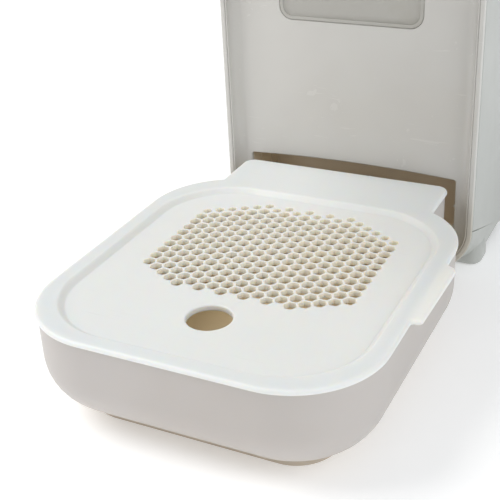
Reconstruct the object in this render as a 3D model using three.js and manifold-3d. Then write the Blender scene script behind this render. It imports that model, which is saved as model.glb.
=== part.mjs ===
// Formula dispenser: a countertop machine that heats water, doses powder and mixes a bottle of
// formula over a waste water tray, which is drawn out in front of its slot in the column.
// Millimetres, +X to the right, +Y into the machine, +Z up. The origin is the middle of the
// overall footprint, on the table.
import * as THREE from 'three';
import { mergeVertices } from 'three/addons/utils/BufferGeometryUtils.js';
import Module from 'manifold-3d';

const wasm = await Module();
wasm.setup();

// Driving dimensions of the machine.
const bodyWidth = 160; // across the side shells
const columnDepth = 98.7; // front lips to the face of the rear cover
const tankDepth = 65.4; // water tank, front to back
const deckHeight = 342; // top deck above the table
const headHeight = 117; // head, from its underside to the top deck
const headReach = 125; // head in front of the lips
const headLowerRound = 18; // front lower edge of the head
const headUpperRound = 30; // front upper edge of the head
const plinthHeight = 32; // ledge that the tank stands on
const wall = 2.4;
const sideWall = 1.8;
const gap = 0.3; // between pieces that touch
const footHeight = 4;
const footLength = 22.5;
const footFront = 16.5; // front feet behind the lips
const footBulge = 1.7; // front feet past the side shells
const seamHeight = 31; // top of the base pan at the front
const seamRun = 74; // length over which that seam slopes down to the bottom edge
const plinthCorner = 24; // back corners of the plinth and the tank

// Column front: two lips round a dished panel.
const lipWidth = 3;
const lipDepth = 1.8;
const lipCorner = 30;
const lipLow = 1;
const panelDepth = 7.5; // flat of the panel behind the lips
const panelWall = 2.2;
const panelCove = 7; // radius of the cove between panel and lips
const slotSideMargin = 1.1; // slot past the neck of the tray, at each side
const slotLowMargin = 2.5;
const slotHighMargin = 1;
const slotArch = 2; // rise of the slot's top edge at the middle
const dockRun = 15; // dock deeper than the neck is long
const guardHalf = 44;
const guardTall = 64;
const guardDrop = 13; // top of the guard below the head
const guardCorner = 8;

// Waste water tray and its perforated cover.
const trayWidth = 180;
const trayLength = 192.8;
const trayCorner = 45.8;
const trayTop = 59;
const trayWall = 2.4;
const trayFloor = 3.8;
const trayBowl = 27; // radius between the walls and the floor of the tray
const trayInset = 1; // tray wall behind the edge of its cover
const ringInset = 23.1; // foot ring in from the tray's edge
const ringWall = 3;
const neckMargin = 14.5; // side of the neck in from the side of the body
const neckLength = 30;
const neckLow = 14;
const neckCorner = 7;
const coverFlange = 2.4;
const coverPlate = 2;
const recessDepth = 2.8;
const recessRim = 9.2; // rim at the front and sides
const recessBack = 11.9; // rim at the back
const tabReach = 7; // finger tab past the right edge
const tabLength = 56;
const tabFront = 74.8; // front end of the tab behind the tray's front edge
const cellPitch = 7.21;
const cellSize = 3.6; // corner radius of a hexagonal cell
const cellSideMargin = 20; // clear band between the cells and the side of the recess
const cellBackMargin = 9;
const cellTaper = 4; // columns at each side that get shorter
const cellFront = 70.2; // first cell of the middle columns behind the tray's front edge
const drainRadius = 11.3;
const drainFront = 46.4; // finger hole behind the tray's front edge

// Powder and mixing.
const hopperRadius = 49;
const hopperWall = 2.2;
const hopperMargin = 11; // hopper behind the rounded front edge of the head
const wheelMargin = 5.8; // pitch circle of the dosing wheel in from the hopper
const wheelTeeth = 36;
const pinionTeeth = 9;
const pocketMargin = 16.2; // pockets' circle in from the pitch circle
const pocketRadius = 7.5;
const pocketSpacing = 20; // least distance between the axes of two pockets
const dosingRise = 37; // dosing housing above the underside of the head
const funnelRadius = 29;
const buttonRadius = 8;
const buttonPitch = 22;
const buttonRise = 43; // key row above the underside of the head

const steps = 3; // segments in half of a corner's arc
const turns = 20; // segments round a turned piece

const bodyHalf = bodyWidth / 2;
const innerHalf = bodyHalf - sideWall - gap;
const headClearance = deckHeight - headHeight;
const dosingLow = headClearance + dosingRise;
const buttonHeight = headClearance + buttonRise;
const guardHigh = headClearance - guardDrop;
const guardLow = guardHigh - guardTall;
const neckHalf = bodyHalf - neckMargin;
const slotHalf = neckHalf + slotSideMargin;
const slotLow = neckLow - slotLowMargin;
const slotTop = trayTop + slotHighMargin;
const dockDepth = neckLength + dockRun;
const shellFront = lipDepth + gap;
const trayBack = -neckLength;
const trayFrontY = trayBack - trayLength;
const rimLow = trayTop - coverFlange;
const panelBack = panelDepth + panelWall;
const dockWall = 2.2;
const floorTop = footHeight + 3;
const hopperY = -headReach + headUpperRound + hopperRadius + hopperMargin;
const wheelRadius = hopperRadius - wheelMargin;
const toothModule = (2 * wheelRadius) / wheelTeeth;
const pinionRadius = (pinionTeeth * toothModule) / 2;
const pocketCircle = wheelRadius - pocketMargin;
const pocketCount = Math.floor((2 * Math.PI * pocketCircle) / pocketSpacing);
const dropY = hopperY - pocketCircle;
const pinionY = hopperY + wheelRadius + pinionRadius;
const wheelLow = dosingLow + 7;
const wheelHigh = wheelLow + 8.5;
const hopperLow = wheelHigh + 0.8;
const tankFront = columnDepth + 0.9;
const tankBack = tankFront + tankDepth;
const tankAxisY = (tankFront + tankBack) / 2;
const tankLow = plinthHeight + 0.4;
const tankHigh = deckHeight - 8;

// ---- Geometry helpers ----

const v = (x, y, z) => new THREE.Vector3(x, y, z);
const planes = {
  x: new THREE.Matrix4().makeBasis(v(0, 1, 0), v(0, 0, 1), v(1, 0, 0)),
  y: new THREE.Matrix4().makeBasis(v(1, 0, 0), v(0, 0, 1), v(0, -1, 0)),
  z: new THREE.Matrix4(),
};

// Carries a shape along an axis. Shapes lie in YZ, XZ or XY, for the x, y and z axes. A round
// is a quarter circle at both ends that stays inside the shape's outline.
function extrude(shape, axis, from, to, round = 0, roundSteps = 4) {
  const geometry = new THREE.ExtrudeGeometry(shape, {
    depth: to - from - 2 * round,
    curveSegments: steps,
    bevelEnabled: round > 0,
    bevelThickness: round,
    bevelSize: round,
    bevelOffset: -round,
    bevelSegments: roundSteps,
  });
  geometry.translate(0, 0, (axis === 'y' ? -to : from) + round);
  return geometry.applyMatrix4(planes[axis]);
}

// A rectangle with its own radius at each corner: low left, low right, high right, high left.
function rectangle(left, right, low, high, radii) {
  const [a, b, c, d] = Array.isArray(radii) ? radii : [radii, radii, radii, radii];
  const shape = new THREE.Shape();
  shape.moveTo(left + a, low);
  shape.lineTo(right - b, low);
  if (b > 0) shape.absarc(right - b, low + b, b, -Math.PI / 2, 0, false);
  shape.lineTo(right, high - c);
  if (c > 0) shape.absarc(right - c, high - c, c, 0, Math.PI / 2, false);
  shape.lineTo(left + d, high);
  if (d > 0) shape.absarc(left + d, high - d, d, Math.PI / 2, Math.PI, false);
  shape.lineTo(left, low + a);
  if (a > 0) shape.absarc(left + a, low + a, a, Math.PI, Math.PI * 1.5, false);
  return shape;
}

// A regular polygon with a corner on the shape's first axis.
function polygon(sides, radius, x = 0, y = 0) {
  const corners = Array.from({ length: sides }, (_, index) => {
    const angle = (index * 2 * Math.PI) / sides;
    return new THREE.Vector2(x + radius * Math.cos(angle), y + radius * Math.sin(angle));
  });
  return new THREE.Shape(corners);
}

// A U outline in XZ: square at the top, rounded at its two lower corners.
function tub(half, low, high, radius) {
  return rectangle(-half, half, low, high, [radius, radius, 0, 0]);
}

function block(x0, x1, y0, y1, z0, z1) {
  const geometry = new THREE.BoxGeometry(x1 - x0, y1 - y0, z1 - z0);
  return geometry.translate((x0 + x1) / 2, (y0 + y1) / 2, (z0 + z1) / 2);
}

// A cylinder along x, y or z, between two places on that axis.
function rod(radius, axis, from, to, a = 0, b = 0, sides = turns) {
  const geometry = new THREE.CylinderGeometry(radius, radius, to - from, sides);
  if (axis === 'x') geometry.rotateZ(-Math.PI / 2);
  if (axis === 'z') geometry.rotateX(Math.PI / 2);
  const middle = (from + to) / 2;
  const place = { x: [middle, a, b], y: [a, middle, b], z: [a, b, middle] }[axis];
  return geometry.translate(...place);
}

// Turns a profile of [radius, height] points round a vertical axis through x, y.
function turned(profile, x, y, sides = turns) {
  const points = profile.map(([radius, height]) => new THREE.Vector2(radius, height));
  if (THREE.ShapeUtils.area(points) < 0) points.reverse();
  const closed = profile.every(([radius]) => radius > 0);
  if (closed) points.push(points[0].clone());
  const geometry = new THREE.LatheGeometry(points, sides);
  return geometry.rotateX(Math.PI / 2).translate(x, y, 0);
}

// A solid for booleans, from a closed geometry.
function solid(geometry) {
  const bare = geometry.clone();
  bare.deleteAttribute('normal');
  bare.deleteAttribute('uv');
  const welded = mergeVertices(bare, 1e-4);
  const corners = welded.index.array;
  const kept = [];
  for (let i = 0; i < corners.length; i += 3) {
    const [a, b, c] = [corners[i], corners[i + 1], corners[i + 2]];
    if (a !== b && b !== c && c !== a) kept.push(a, b, c);
  }
  return new wasm.Manifold(new wasm.Mesh({
    numProp: 3,
    vertProperties: new Float32Array(welded.attributes.position.array),
    triVerts: new Uint32Array(kept),
  }));
}

const join = (...geometries) => geometries.map(solid).reduce((sum, next) => sum.add(next));
const cut = (body, ...geometries) => body.subtract(join(...geometries));

function geometryOf(body) {
  const mesh = body.getMesh();
  const geometry = new THREE.BufferGeometry();
  geometry.setAttribute('position', new THREE.BufferAttribute(mesh.vertProperties, 3));
  geometry.setIndex(new THREE.BufferAttribute(mesh.triVerts, 1));
  geometry.computeVertexNormals();
  return geometry;
}

const finish = (color, roughness, metalness = 0) =>
  new THREE.MeshStandardMaterial({ color, roughness, metalness });

const whitePlastic = finish(0xe6e6e0, 0.42);
const shellPlastic = finish(0xdadcd8, 0.38);
const panelPlastic = finish(0xdcdad4, 0.28);
const footPlastic = finish(0xc9cbc6, 0.6);
const dockPlastic = finish(0x7a6a52, 0.55);
const clearPlastic = finish(0xdfe6e8, 0.08);
const blackGloss = finish(0x141518, 0.12);
const steel = finish(0xb8babb, 0.35, 1);
const greyPlastic = finish(0x8d9092, 0.5);
const boardGreen = finish(0x1f5a3a, 0.55);
const siliconeWhite = finish(0xe9e4da, 0.6);

const machine = new THREE.Group();

function addPart(name, body, material) {
  const geometry = body.isBufferGeometry ? body : geometryOf(body);
  const mesh = new THREE.Mesh(geometry, material.clone());
  mesh.name = name;
  machine.add(mesh);
}

// ---- Waste water tray ----

// The rounded square of the tray, drawn in from the cover's edge by an inset.
function trayOutline(inset) {
  const half = trayWidth / 2 - inset;
  return rectangle(-half, half, trayFrontY + inset, trayBack - inset, trayCorner - inset);
}

// A box under the neck, rounded along its lower edges and at its two back corners.
function neckBox(half, low, back, high, round) {
  const profile = rectangle(-half, half, low, high, [round, round, 0, 0]);
  const plan = rectangle(-half, half, trayBack - 30, back, [0, 0, neckCorner, neckCorner]);
  const bar = solid(extrude(profile, 'y', trayBack - 30, back));
  return bar.intersect(solid(extrude(plan, 'z', low - 1, high + 1)));
}

function trayBody() {
  const wallTop = rimLow - gap;
  const neckInset = neckHalf - trayInset;
  const neckRound = 12;
  const above = wallTop + trayBowl + 10;
  const outer = solid(extrude(trayOutline(trayInset), 'z', trayFloor, above, trayBowl));
  const innerInset = trayInset + trayWall;
  const innerFloor = trayFloor + trayWall;
  const innerBowl = trayBowl - trayWall;
  const inner = solid(extrude(trayOutline(innerInset), 'z', innerFloor, above, innerBowl));
  const neckOuter = neckBox(neckInset, neckLow, -trayInset, above, neckRound);
  const neckInner = neckBox(neckInset - trayWall, neckLow + trayWall, -innerInset, above + 1,
    neckRound - trayWall);
  const ring = solid(extrude(trayOutline(ringInset), 'z', 0, trayFloor + 1.6));
  const ringHollow = extrude(trayOutline(ringInset + ringWall), 'z', -1, trayFloor);
  const lid = block(-trayWidth, trayWidth, 2 * trayFrontY, 50, wallTop, above + 5);
  const shell = outer.add(neckOuter).subtract(inner).subtract(neckInner);
  return cut(shell.add(cut(ring, ringHollow)), lid);
}

// Cells stand in columns across the tray. Towards each side the last columns lose a cell each
// and start half a pitch further back, so that the field has cut corners.
function drainCells() {
  const cells = [];
  const columnPitch = cellPitch * Math.sqrt(3) / 2;
  const middle = Math.floor((trayWidth / 2 - recessRim - cellSideMargin) / columnPitch);
  const rows = Math.floor((trayLength - cellFront - recessBack - cellBackMargin) / cellPitch);
  const taperFrom = middle - cellTaper;
  for (let column = -middle; column <= middle; column += 1) {
    const away = Math.abs(column);
    const taper = Math.max(0, away - taperFrom);
    const stagger = taper > 0 ? taper / 2 : ((taperFrom - away) % 2) / 2;
    for (let row = 0; row < rows - taper; row += 1) {
      const x = column * columnPitch;
      const y = trayFrontY + cellFront + (stagger + row) * cellPitch;
      cells.push(polygon(6, cellSize, x, y));
    }
  }
  return cells;
}

function trayCover() {
  const edge = trayWidth / 2;
  const recessHalf = edge - recessRim;
  const recessFront = trayFrontY + recessRim;
  const recessEnd = trayBack - recessBack;
  const recessCorner = trayCorner - recessRim + 6;
  const plateTop = trayTop - recessDepth;
  const plateLow = plateTop - coverPlate;
  const recess = (grow) => rectangle(-recessHalf - grow, recessHalf + grow,
    recessFront - grow, recessEnd + grow, recessCorner + grow);
  const neck = rectangle(-neckHalf, neckHalf, trayBack - 30, 0, [0, 0, neckCorner, neckCorner]);
  const tabStart = trayFrontY + tabFront;
  const tab = rectangle(edge - 8, edge + tabReach, tabStart, tabStart + tabLength,
    [0, 1.5, 6, 0]);
  const rim = join(
    extrude(trayOutline(0), 'z', rimLow, trayTop),
    extrude(neck, 'z', rimLow, trayTop),
    extrude(tab, 'z', rimLow, trayTop),
    extrude(recess(coverPlate), 'z', plateLow, rimLow + 0.5),
  );
  const ribInset = trayInset + trayWall + 0.5;
  const rib = cut(solid(extrude(trayOutline(ribInset), 'z', rimLow - 5, rimLow + 0.5)),
    extrude(trayOutline(ribInset + 1.5), 'z', rimLow - 6, rimLow + 1));
  const field = new THREE.ExtrudeGeometry(drainCells(), { depth: 10, bevelEnabled: false });
  field.translate(0, 0, plateLow - 4);
  return cut(rim.add(rib), extrude(recess(0), 'z', plateTop, trayTop + 1), field,
    rod(drainRadius, 'z', plateLow - 1, plateTop + 1, 0, trayFrontY + drainFront, 40));
}

addPart('tray_body', trayBody(), whitePlastic);
addPart('tray_cover', trayCover(), whitePlastic);

// ---- Base and feet ----

const dockScrewSpots = [-1, 1].flatMap((side) =>
  [panelBack + 8, dockDepth - 6].map((y) => ({ x: side * (slotHalf - 18), y })));

// The sloping seam between the base pan and a side shell, as the region above it.
function aboveSeam() {
  const shape = new THREE.Shape();
  const start = shellFront;
  shape.moveTo(start - 5, seamHeight);
  shape.lineTo(start, seamHeight);
  shape.lineTo(start + seamRun, footHeight);
  shape.lineTo(columnDepth + gap, footHeight);
  shape.lineTo(columnDepth + gap, 3 * seamHeight);
  shape.lineTo(start - 5, 3 * seamHeight);
  return shape;
}

const plinthHalf = bodyHalf - 2;
const inletHalf = 13;
const inletX = inletHalf + plinthCorner - plinthHalf;
const inletLow = floorTop + 2;
const inletHigh = inletLow + 17;

function basePan() {
  const innerTub = tub(innerHalf + gap, lipLow + 1.5, seamHeight + 9, lipCorner - 1.5);
  const outerTub = tub(bodyHalf, lipLow + gap, seamHeight + 1, lipCorner);
  const frontRing = cut(solid(extrude(outerTub, 'y', shellFront, footFront + 0.5)),
    extrude(innerTub, 'y', 0, footFront + 1));
  const squareFront = rectangle(-bodyHalf, bodyHalf, footHeight, seamHeight, 2);
  const step = cut(solid(extrude(squareFront, 'y', footFront, footFront + 2)),
    extrude(innerTub, 'y', footFront - 1, footFront + 3));
  const seamEnd = shellFront + seamRun;
  const sides = [-1, 1].map((side) => {
    const x = side * (bodyHalf - sideWall / 2);
    return block(x - sideWall / 2, x + sideWall / 2, footFront + 1, seamEnd, footHeight,
      seamHeight);
  });
  const bridge = bodyHalf - lipCorner - 5;
  const shelf = bodyHalf - lipCorner + 13;
  const plates = [
    block(-shelf, shelf, panelBack + gap, footFront + 1, footHeight, floorTop),
    block(-bridge, bridge, panelBack + gap, footFront + 1, lipLow + gap, floorTop),
    block(-bodyHalf, bodyHalf, footFront, seamEnd, footHeight, floorTop),
    block(-innerHalf, innerHalf, footFront, columnDepth + 1, footHeight, floorTop),
  ];
  const plinthFront = columnDepth + gap;
  const plan = (inset, from) => rectangle(-plinthHalf + inset, plinthHalf - inset, from,
    tankBack - inset, [0, 0, plinthCorner - inset, plinthCorner - inset]);
  const plinth = cut(solid(extrude(plan(0, plinthFront), 'z', footHeight, plinthHeight)),
    extrude(plan(wall, plinthFront - 5), 'z', floorTop, plinthHeight - wall));
  const pan = frontRing.add(step).add(join(...sides, ...plates)).add(plinth);
  const reach = bodyHalf + 5;
  const screwHoles = dockScrewSpots.flatMap(({ x, y }) => [
    rod(3.6, 'z', footHeight - 5, footHeight + 1.8, x, y, 12),
    rod(1.9, 'z', footHeight, floorTop + 1, x, y, 12),
  ]);
  return cut(pan,
    extrude(aboveSeam(), 'x', innerHalf, reach),
    extrude(aboveSeam(), 'x', -reach, -innerHalf),
    rod(16.9, 'z', plinthHeight - wall - 1, plinthHeight + 1, 0, tankAxisY),
    block(-inletHalf - gap + inletX, inletX + inletHalf + gap, tankBack - 8, tankBack + 2,
      inletLow - gap, inletHigh + gap),
    ...screwHoles);
}

addPart('base_pan', basePan(), shellPlastic);

const footSpots = [
  { name: 'foot_front_left', side: -1, outer: bodyHalf + footBulge, y: footFront },
  { name: 'foot_front_right', side: 1, outer: bodyHalf + footBulge, y: footFront },
  { name: 'foot_rear_left', side: -1, outer: bodyHalf - 8, y: tankBack - 42 },
  { name: 'foot_rear_right', side: 1, outer: bodyHalf - 8, y: tankBack - 42 },
];
for (const { name, side, outer, y } of footSpots) {
  const left = side > 0 ? outer - footLength : -outer;
  const plan = rectangle(left, left + footLength, y, y + footLength, 7);
  addPart(name, extrude(plan, 'z', 0, footHeight - gap), footPlastic);
}

dockScrewSpots.forEach(({ x, y }, index) => {
  const low = footHeight + 0.2;
  const profile = [[0, low], [3.2, low], [3.2, low + 1.3], [1.5, low + 1.3],
    [1.5, low + 5.8], [0, low + 5.8]];
  addPart(`dock_screw_${index + 1}`, turned(profile, x, y, 8), steel);
});

// ---- Column front ----

const panelTop = headClearance - gap;

// The tray slot: round at its lower corners, with a top edge that rises to the middle.
function slotShape(grow) {
  const half = slotHalf + grow;
  const low = slotLow - grow;
  const top = slotTop + grow;
  const round = 12 + grow;
  const small = 3 + grow;
  const shape = new THREE.Shape();
  shape.moveTo(-half + round, low);
  shape.lineTo(half - round, low);
  shape.absarc(half - round, low + round, round, -Math.PI / 2, 0, false);
  shape.lineTo(half, top - small);
  shape.absarc(half - small, top - small, small, 0, Math.PI / 2, false);
  shape.quadraticCurveTo(0, top + 2 * slotArch, -half + small, top);
  shape.absarc(-half + small, top - small, small, Math.PI / 2, Math.PI, false);
  shape.lineTo(-half, low + round);
  shape.absarc(-half + round, low + round, round, Math.PI, Math.PI * 1.5, false);
  return shape;
}

function frontBezel() {
  const flange = tub(bodyHalf - gap, lipLow, panelTop, lipCorner);
  const liner = tub(innerHalf, lipLow + 1.8, panelTop, lipCorner - 1.8);
  const opening = tub(bodyHalf - gap - lipWidth, lipLow + lipWidth, panelTop + 9,
    lipCorner - lipWidth);
  return cut(join(extrude(flange, 'y', 0, lipDepth), extrude(liner, 'y', lipDepth - 0.5, panelBack)),
    extrude(opening, 'y', -1, panelBack + 1));
}

function frontPanel() {
  const half = bodyHalf - lipWidth - 2 * gap;
  const low = lipLow + lipWidth + gap;
  const corner = lipCorner - lipWidth - gap;
  const land = 0.8;
  const blank = solid(extrude(tub(half, low, panelTop, corner), 'y', 0.4, panelBack));
  const dish = tub(half - land, low + land, panelTop + 60, corner - land);
  const guardOpening = rectangle(-guardHalf, guardHalf, guardLow, guardHigh, guardCorner);
  return cut(blank,
    extrude(dish, 'y', -20, panelDepth, panelCove),
    extrude(slotShape(0), 'y', -1, panelBack + 1),
    extrude(guardOpening, 'y', -1, panelBack + 1));
}

const switchX = 0;
const switchZ = 35;
const switchFront = dockDepth + dockWall + gap;

function trayDock() {
  const front = panelBack + gap;
  const sleeve = solid(extrude(slotShape(dockWall), 'y', front, dockDepth + dockWall));
  const hollow = extrude(slotShape(0), 'y', front - 1, dockDepth);
  const bosses = dockScrewSpots.map(({ x, y }) =>
    rod(4.5, 'z', floorTop + gap, slotLow - 1, x, y, 12));
  const pilots = dockScrewSpots.map(({ x, y }) =>
    rod(1.8, 'z', floorTop - 1, slotLow - 1.1, x, y, 8));
  const switchPort = rod(2.8, 'y', dockDepth - 1, dockDepth + dockWall + 1, switchX, switchZ, 16);
  return cut(cut(sleeve, hollow).add(join(...bosses)), ...pilots, switchPort);
}

function guardPocket() {
  const lip = 3;
  const front = panelBack + gap;
  const outline = (grow) => rectangle(-guardHalf - grow, guardHalf + grow, guardLow - grow,
    guardHigh + grow, guardCorner + grow);
  return cut(solid(extrude(outline(lip), 'y', front, front + 7)),
    extrude(outline(gap), 'y', front - 1, front + 5));
}

function splashGuard() {
  const outline = (inset) => rectangle(-guardHalf + inset, guardHalf - inset, guardLow + inset,
    guardHigh - inset, guardCorner - inset);
  return cut(solid(extrude(outline(gap), 'y', panelDepth - 1, panelBack)),
    extrude(outline(gap + 2), 'y', panelDepth - 2, panelDepth + 0.4));
}

addPart('front_bezel', frontBezel(), shellPlastic);
addPart('front_panel', frontPanel(), panelPlastic);
addPart('tray_dock', trayDock(), dockPlastic);
addPart('guard_pocket', guardPocket(), greyPlastic);
addPart('splash_guard', splashGuard(), clearPlastic);

addPart('tray_switch', cut(
  solid(block(switchX - 10, switchX + 10, switchFront, switchFront + 11, switchZ - 7, switchZ + 7)),
  rod(2.8, 'y', switchFront - 1, switchFront + 9, switchX, switchZ, 16)), greyPlastic);
addPart('switch_plunger', rod(2.4, 'y', dockDepth - 3, switchFront + 6, switchX, switchZ, 12),
  siliconeWhite);

// ---- Side shells, rear cover and head ----

// An inverted L seen from the side, with the two front corners of the head rounded.
function sideOutline() {
  const shape = new THREE.Shape();
  const nose = -headReach;
  shape.moveTo(shellFront, footHeight);
  shape.lineTo(columnDepth, footHeight);
  shape.lineTo(columnDepth, deckHeight);
  shape.lineTo(nose + headUpperRound, deckHeight);
  shape.absarc(nose + headUpperRound, deckHeight - headUpperRound, headUpperRound,
    Math.PI / 2, Math.PI, false);
  shape.lineTo(nose, headClearance + headLowerRound);
  shape.absarc(nose + headLowerRound, headClearance + headLowerRound, headLowerRound,
    Math.PI, Math.PI * 1.5, false);
  shape.lineTo(shellFront, headClearance);
  return shape;
}

function belowSeam() {
  const shape = new THREE.Shape();
  const start = shellFront;
  shape.moveTo(start - 5, -5);
  shape.lineTo(columnDepth + 5, -5);
  shape.lineTo(columnDepth + 5, footHeight + gap);
  shape.lineTo(start + seamRun, footHeight + gap);
  shape.lineTo(start, seamHeight + gap);
  shape.lineTo(start - 5, seamHeight + gap);
  return shape;
}

for (const [name, side] of [['left_side_shell', -1], ['right_side_shell', 1]]) {
  const inner = side * (bodyHalf - sideWall);
  const outer = side * bodyHalf;
  const [low, high] = [Math.min(inner, outer), Math.max(inner, outer)];
  addPart(name, cut(solid(extrude(sideOutline(), 'x', low, high)),
    extrude(belowSeam(), 'x', low - 1, high + 1)), shellPlastic);
}

addPart('rear_cover', block(-innerHalf, innerHalf, columnDepth - 2.1, columnDepth,
  plinthHeight + gap, deckHeight), shellPlastic);

const windowHalf = 42;
const windowLow = buttonHeight + 14;
const windowHigh = windowLow + 27;
const buttonNames = ['power_button', 'water_button', 'temperature_button', 'start_button'];
const buttonSpots = buttonNames.map((name, index) => ({ name, x: (index - 1.5) * buttonPitch }));

function headFascia() {
  const nose = -headReach;
  const lowY = nose + headLowerRound;
  const lowZ = headClearance + headLowerRound;
  const highY = nose + headUpperRound;
  const highZ = deckHeight - headUpperRound;
  const shape = new THREE.Shape();
  shape.moveTo(lowY, headClearance);
  shape.absarc(lowY, lowZ, headLowerRound, -Math.PI / 2, -Math.PI, true);
  shape.lineTo(nose, highZ);
  shape.absarc(highY, highZ, headUpperRound, Math.PI, Math.PI / 2, true);
  shape.lineTo(highY, deckHeight - wall);
  shape.absarc(highY, highZ, headUpperRound - wall, Math.PI / 2, Math.PI, false);
  shape.lineTo(nose + wall, lowZ);
  shape.absarc(lowY, lowZ, headLowerRound - wall, Math.PI, Math.PI * 1.5, false);
  const opening = rectangle(-windowHalf - gap, windowHalf + gap, windowLow - gap,
    windowHigh + gap, 5);
  const holes = buttonSpots.map(({ x }) =>
    rod(buttonRadius + gap, 'y', nose - 1, nose + wall + 1, x, buttonHeight));
  return cut(solid(extrude(shape, 'x', -innerHalf, innerHalf)),
    extrude(opening, 'y', nose - 1, nose + wall + 1), ...holes);
}

addPart('head_fascia', headFascia(), panelPlastic);
addPart('display_window', extrude(rectangle(-windowHalf, windowHalf, windowLow, windowHigh, 4.7),
  'y', -headReach, -headReach + 2), blackGloss);
for (const { name, x } of buttonSpots) {
  const front = -headReach - 1.6;
  const flange = -headReach + wall + 0.4;
  addPart(name, join(
    rod(buttonRadius, 'y', front, front + 8.2, x, buttonHeight),
    rod(buttonRadius + 1.6, 'y', flange, flange + 1.5, x, buttonHeight),
  ), whitePlastic);
}
const boardHalf = innerHalf - 18;
addPart('control_board', block(-boardHalf, boardHalf, -headReach + 8, -headReach + 9.6,
  buttonHeight - 16, deckHeight - headUpperRound + 6), boardGreen);

const headPlateFront = -headReach + headLowerRound + gap;
addPart('head_underside', cut(
  solid(block(-innerHalf, innerHalf, headPlateFront, panelBack, headClearance,
    headClearance + wall)),
  rod(funnelRadius + 1, 'z', headClearance - 1, headClearance + wall + 1, 0, dropY)), panelPlastic);

const deckFront = -headReach + headUpperRound + gap;
addPart('top_deck', cut(
  solid(block(-innerHalf, innerHalf, deckFront, columnDepth - wall, deckHeight - wall,
    deckHeight)),
  rod(hopperRadius + 3.5, 'z', deckHeight - wall - 1, deckHeight + 1, 0, hopperY)), shellPlastic);

// ---- Powder hopper, dosing wheel and mixing funnel ----

const flangeLow = deckHeight + gap;
const flangeHigh = flangeLow + 2;
const flangeRadius = hopperRadius + 7;
const hopperFloor = 3;
const hingeY = hopperY + flangeRadius + 4;
const hingeZ = flangeHigh + 1.7;
const hingePin = 1.3;
const hingeBore = hingePin + gap;
const knuckle = 3.2;
const knuckleHalf = 8;
const earWidth = 4;

function powderHopper() {
  const inner = hopperRadius - hopperWall;
  const bowl = turned([[0, hopperLow], [hopperRadius, hopperLow], [hopperRadius, flangeLow],
    [flangeRadius, flangeLow], [flangeRadius, flangeHigh], [inner, flangeHigh],
    [inner, hopperLow + hopperFloor], [0, hopperLow + hopperFloor]], 0, hopperY, 28);
  const earStart = knuckleHalf + gap;
  const ears = [-1, 1].flatMap((side) => {
    const near = side * earStart;
    const far = side * (earStart + earWidth);
    const [low, high] = [Math.min(near, far), Math.max(near, far)];
    return [
      rod(knuckle, 'x', low, high, hingeY, hingeZ, 12),
      block(low, high, hopperY + hopperRadius, hingeY, flangeLow, flangeHigh),
    ];
  });
  return cut(join(bowl, ...ears),
    rod(4.3, 'z', hopperLow - 1, hopperLow + hopperFloor + 1, 0, hopperY, 16),
    rod(pocketRadius + 1.5, 'z', hopperLow - 1, hopperLow + hopperFloor + 1, 0,
      hopperY + pocketCircle, 20),
    rod(hingeBore, 'x', -earStart - 20, earStart + 20, hingeY, hingeZ, 8));
}

function hopperLid() {
  const low = flangeHigh + gap;
  const high = low + 5.4;
  const radius = flangeRadius + 1;
  const plate = turned([[0, low + 2.6], [hopperRadius - hopperWall - 2, low + 2.6],
    [hopperRadius - hopperWall - 2, low], [radius, low], [radius, high - 2], [radius - 2, high],
    [0, high]], 0, hopperY, 28);
  const strap = block(-knuckleHalf, knuckleHalf, hingeY - 9, hingeY, low, low + 3.4);
  return cut(join(plate, strap, rod(knuckle, 'x', -knuckleHalf, knuckleHalf, hingeY, hingeZ, 12)),
    rod(hingeBore, 'x', -knuckleHalf - 1, knuckleHalf + 1, hingeY, hingeZ, 8));
}

addPart('powder_hopper', powderHopper(), clearPlastic);
addPart('hopper_lid', hopperLid(), whitePlastic);
addPart('hopper_lid_pin', rod(hingePin, 'x', -knuckleHalf - earWidth, knuckleHalf + earWidth,
  hingeY, hingeZ, 8), steel);

addPart('agitator', join(
  rod(3.2, 'z', wheelHigh + 0.4, hopperLow + 34, 0, hopperY, 16),
  block(-hopperRadius + 7, hopperRadius - 7, hopperY - 2.5, hopperY + 2.5, hopperLow + 5,
    hopperLow + 10),
  block(-hopperRadius + 19, hopperRadius - 19, hopperY - 2, hopperY + 2, hopperLow + 23,
    hopperLow + 27),
), whitePlastic);

// A spur gear outline of straight-sided teeth; turn sets where the first tooth points.
function gearShape(teeth, centreY, turn) {
  const pitchRadius = (teeth * toothModule) / 2;
  const tip = pitchRadius + 0.8 * toothModule;
  const root = pitchRadius - toothModule;
  const step = (2 * Math.PI) / teeth;
  const corners = [[-0.34, root], [-0.13, tip], [0.13, tip], [0.34, root]];
  const points = [];
  for (let tooth = 0; tooth < teeth; tooth += 1) {
    for (const [share, radius] of corners) {
      const angle = turn + (tooth + share) * step;
      points.push(new THREE.Vector2(radius * Math.cos(angle), centreY + radius * Math.sin(angle)));
    }
  }
  return new THREE.Shape(points);
}

function dosingWheel() {
  const gapUp = Math.PI / 2 + Math.PI / wheelTeeth;
  const pockets = Array.from({ length: pocketCount }, (_, index) => {
    const angle = (2 * index * Math.PI) / pocketCount - Math.PI / 2;
    return rod(pocketRadius, 'z', wheelLow - 1, wheelHigh + 1, pocketCircle * Math.cos(angle),
      hopperY + pocketCircle * Math.sin(angle), 12);
  });
  return cut(solid(extrude(gearShape(wheelTeeth, hopperY, gapUp), 'z', wheelLow, wheelHigh)),
    rod(3.4, 'z', wheelLow - 1, wheelHigh + 1, 0, hopperY, 16), ...pockets);
}

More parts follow.
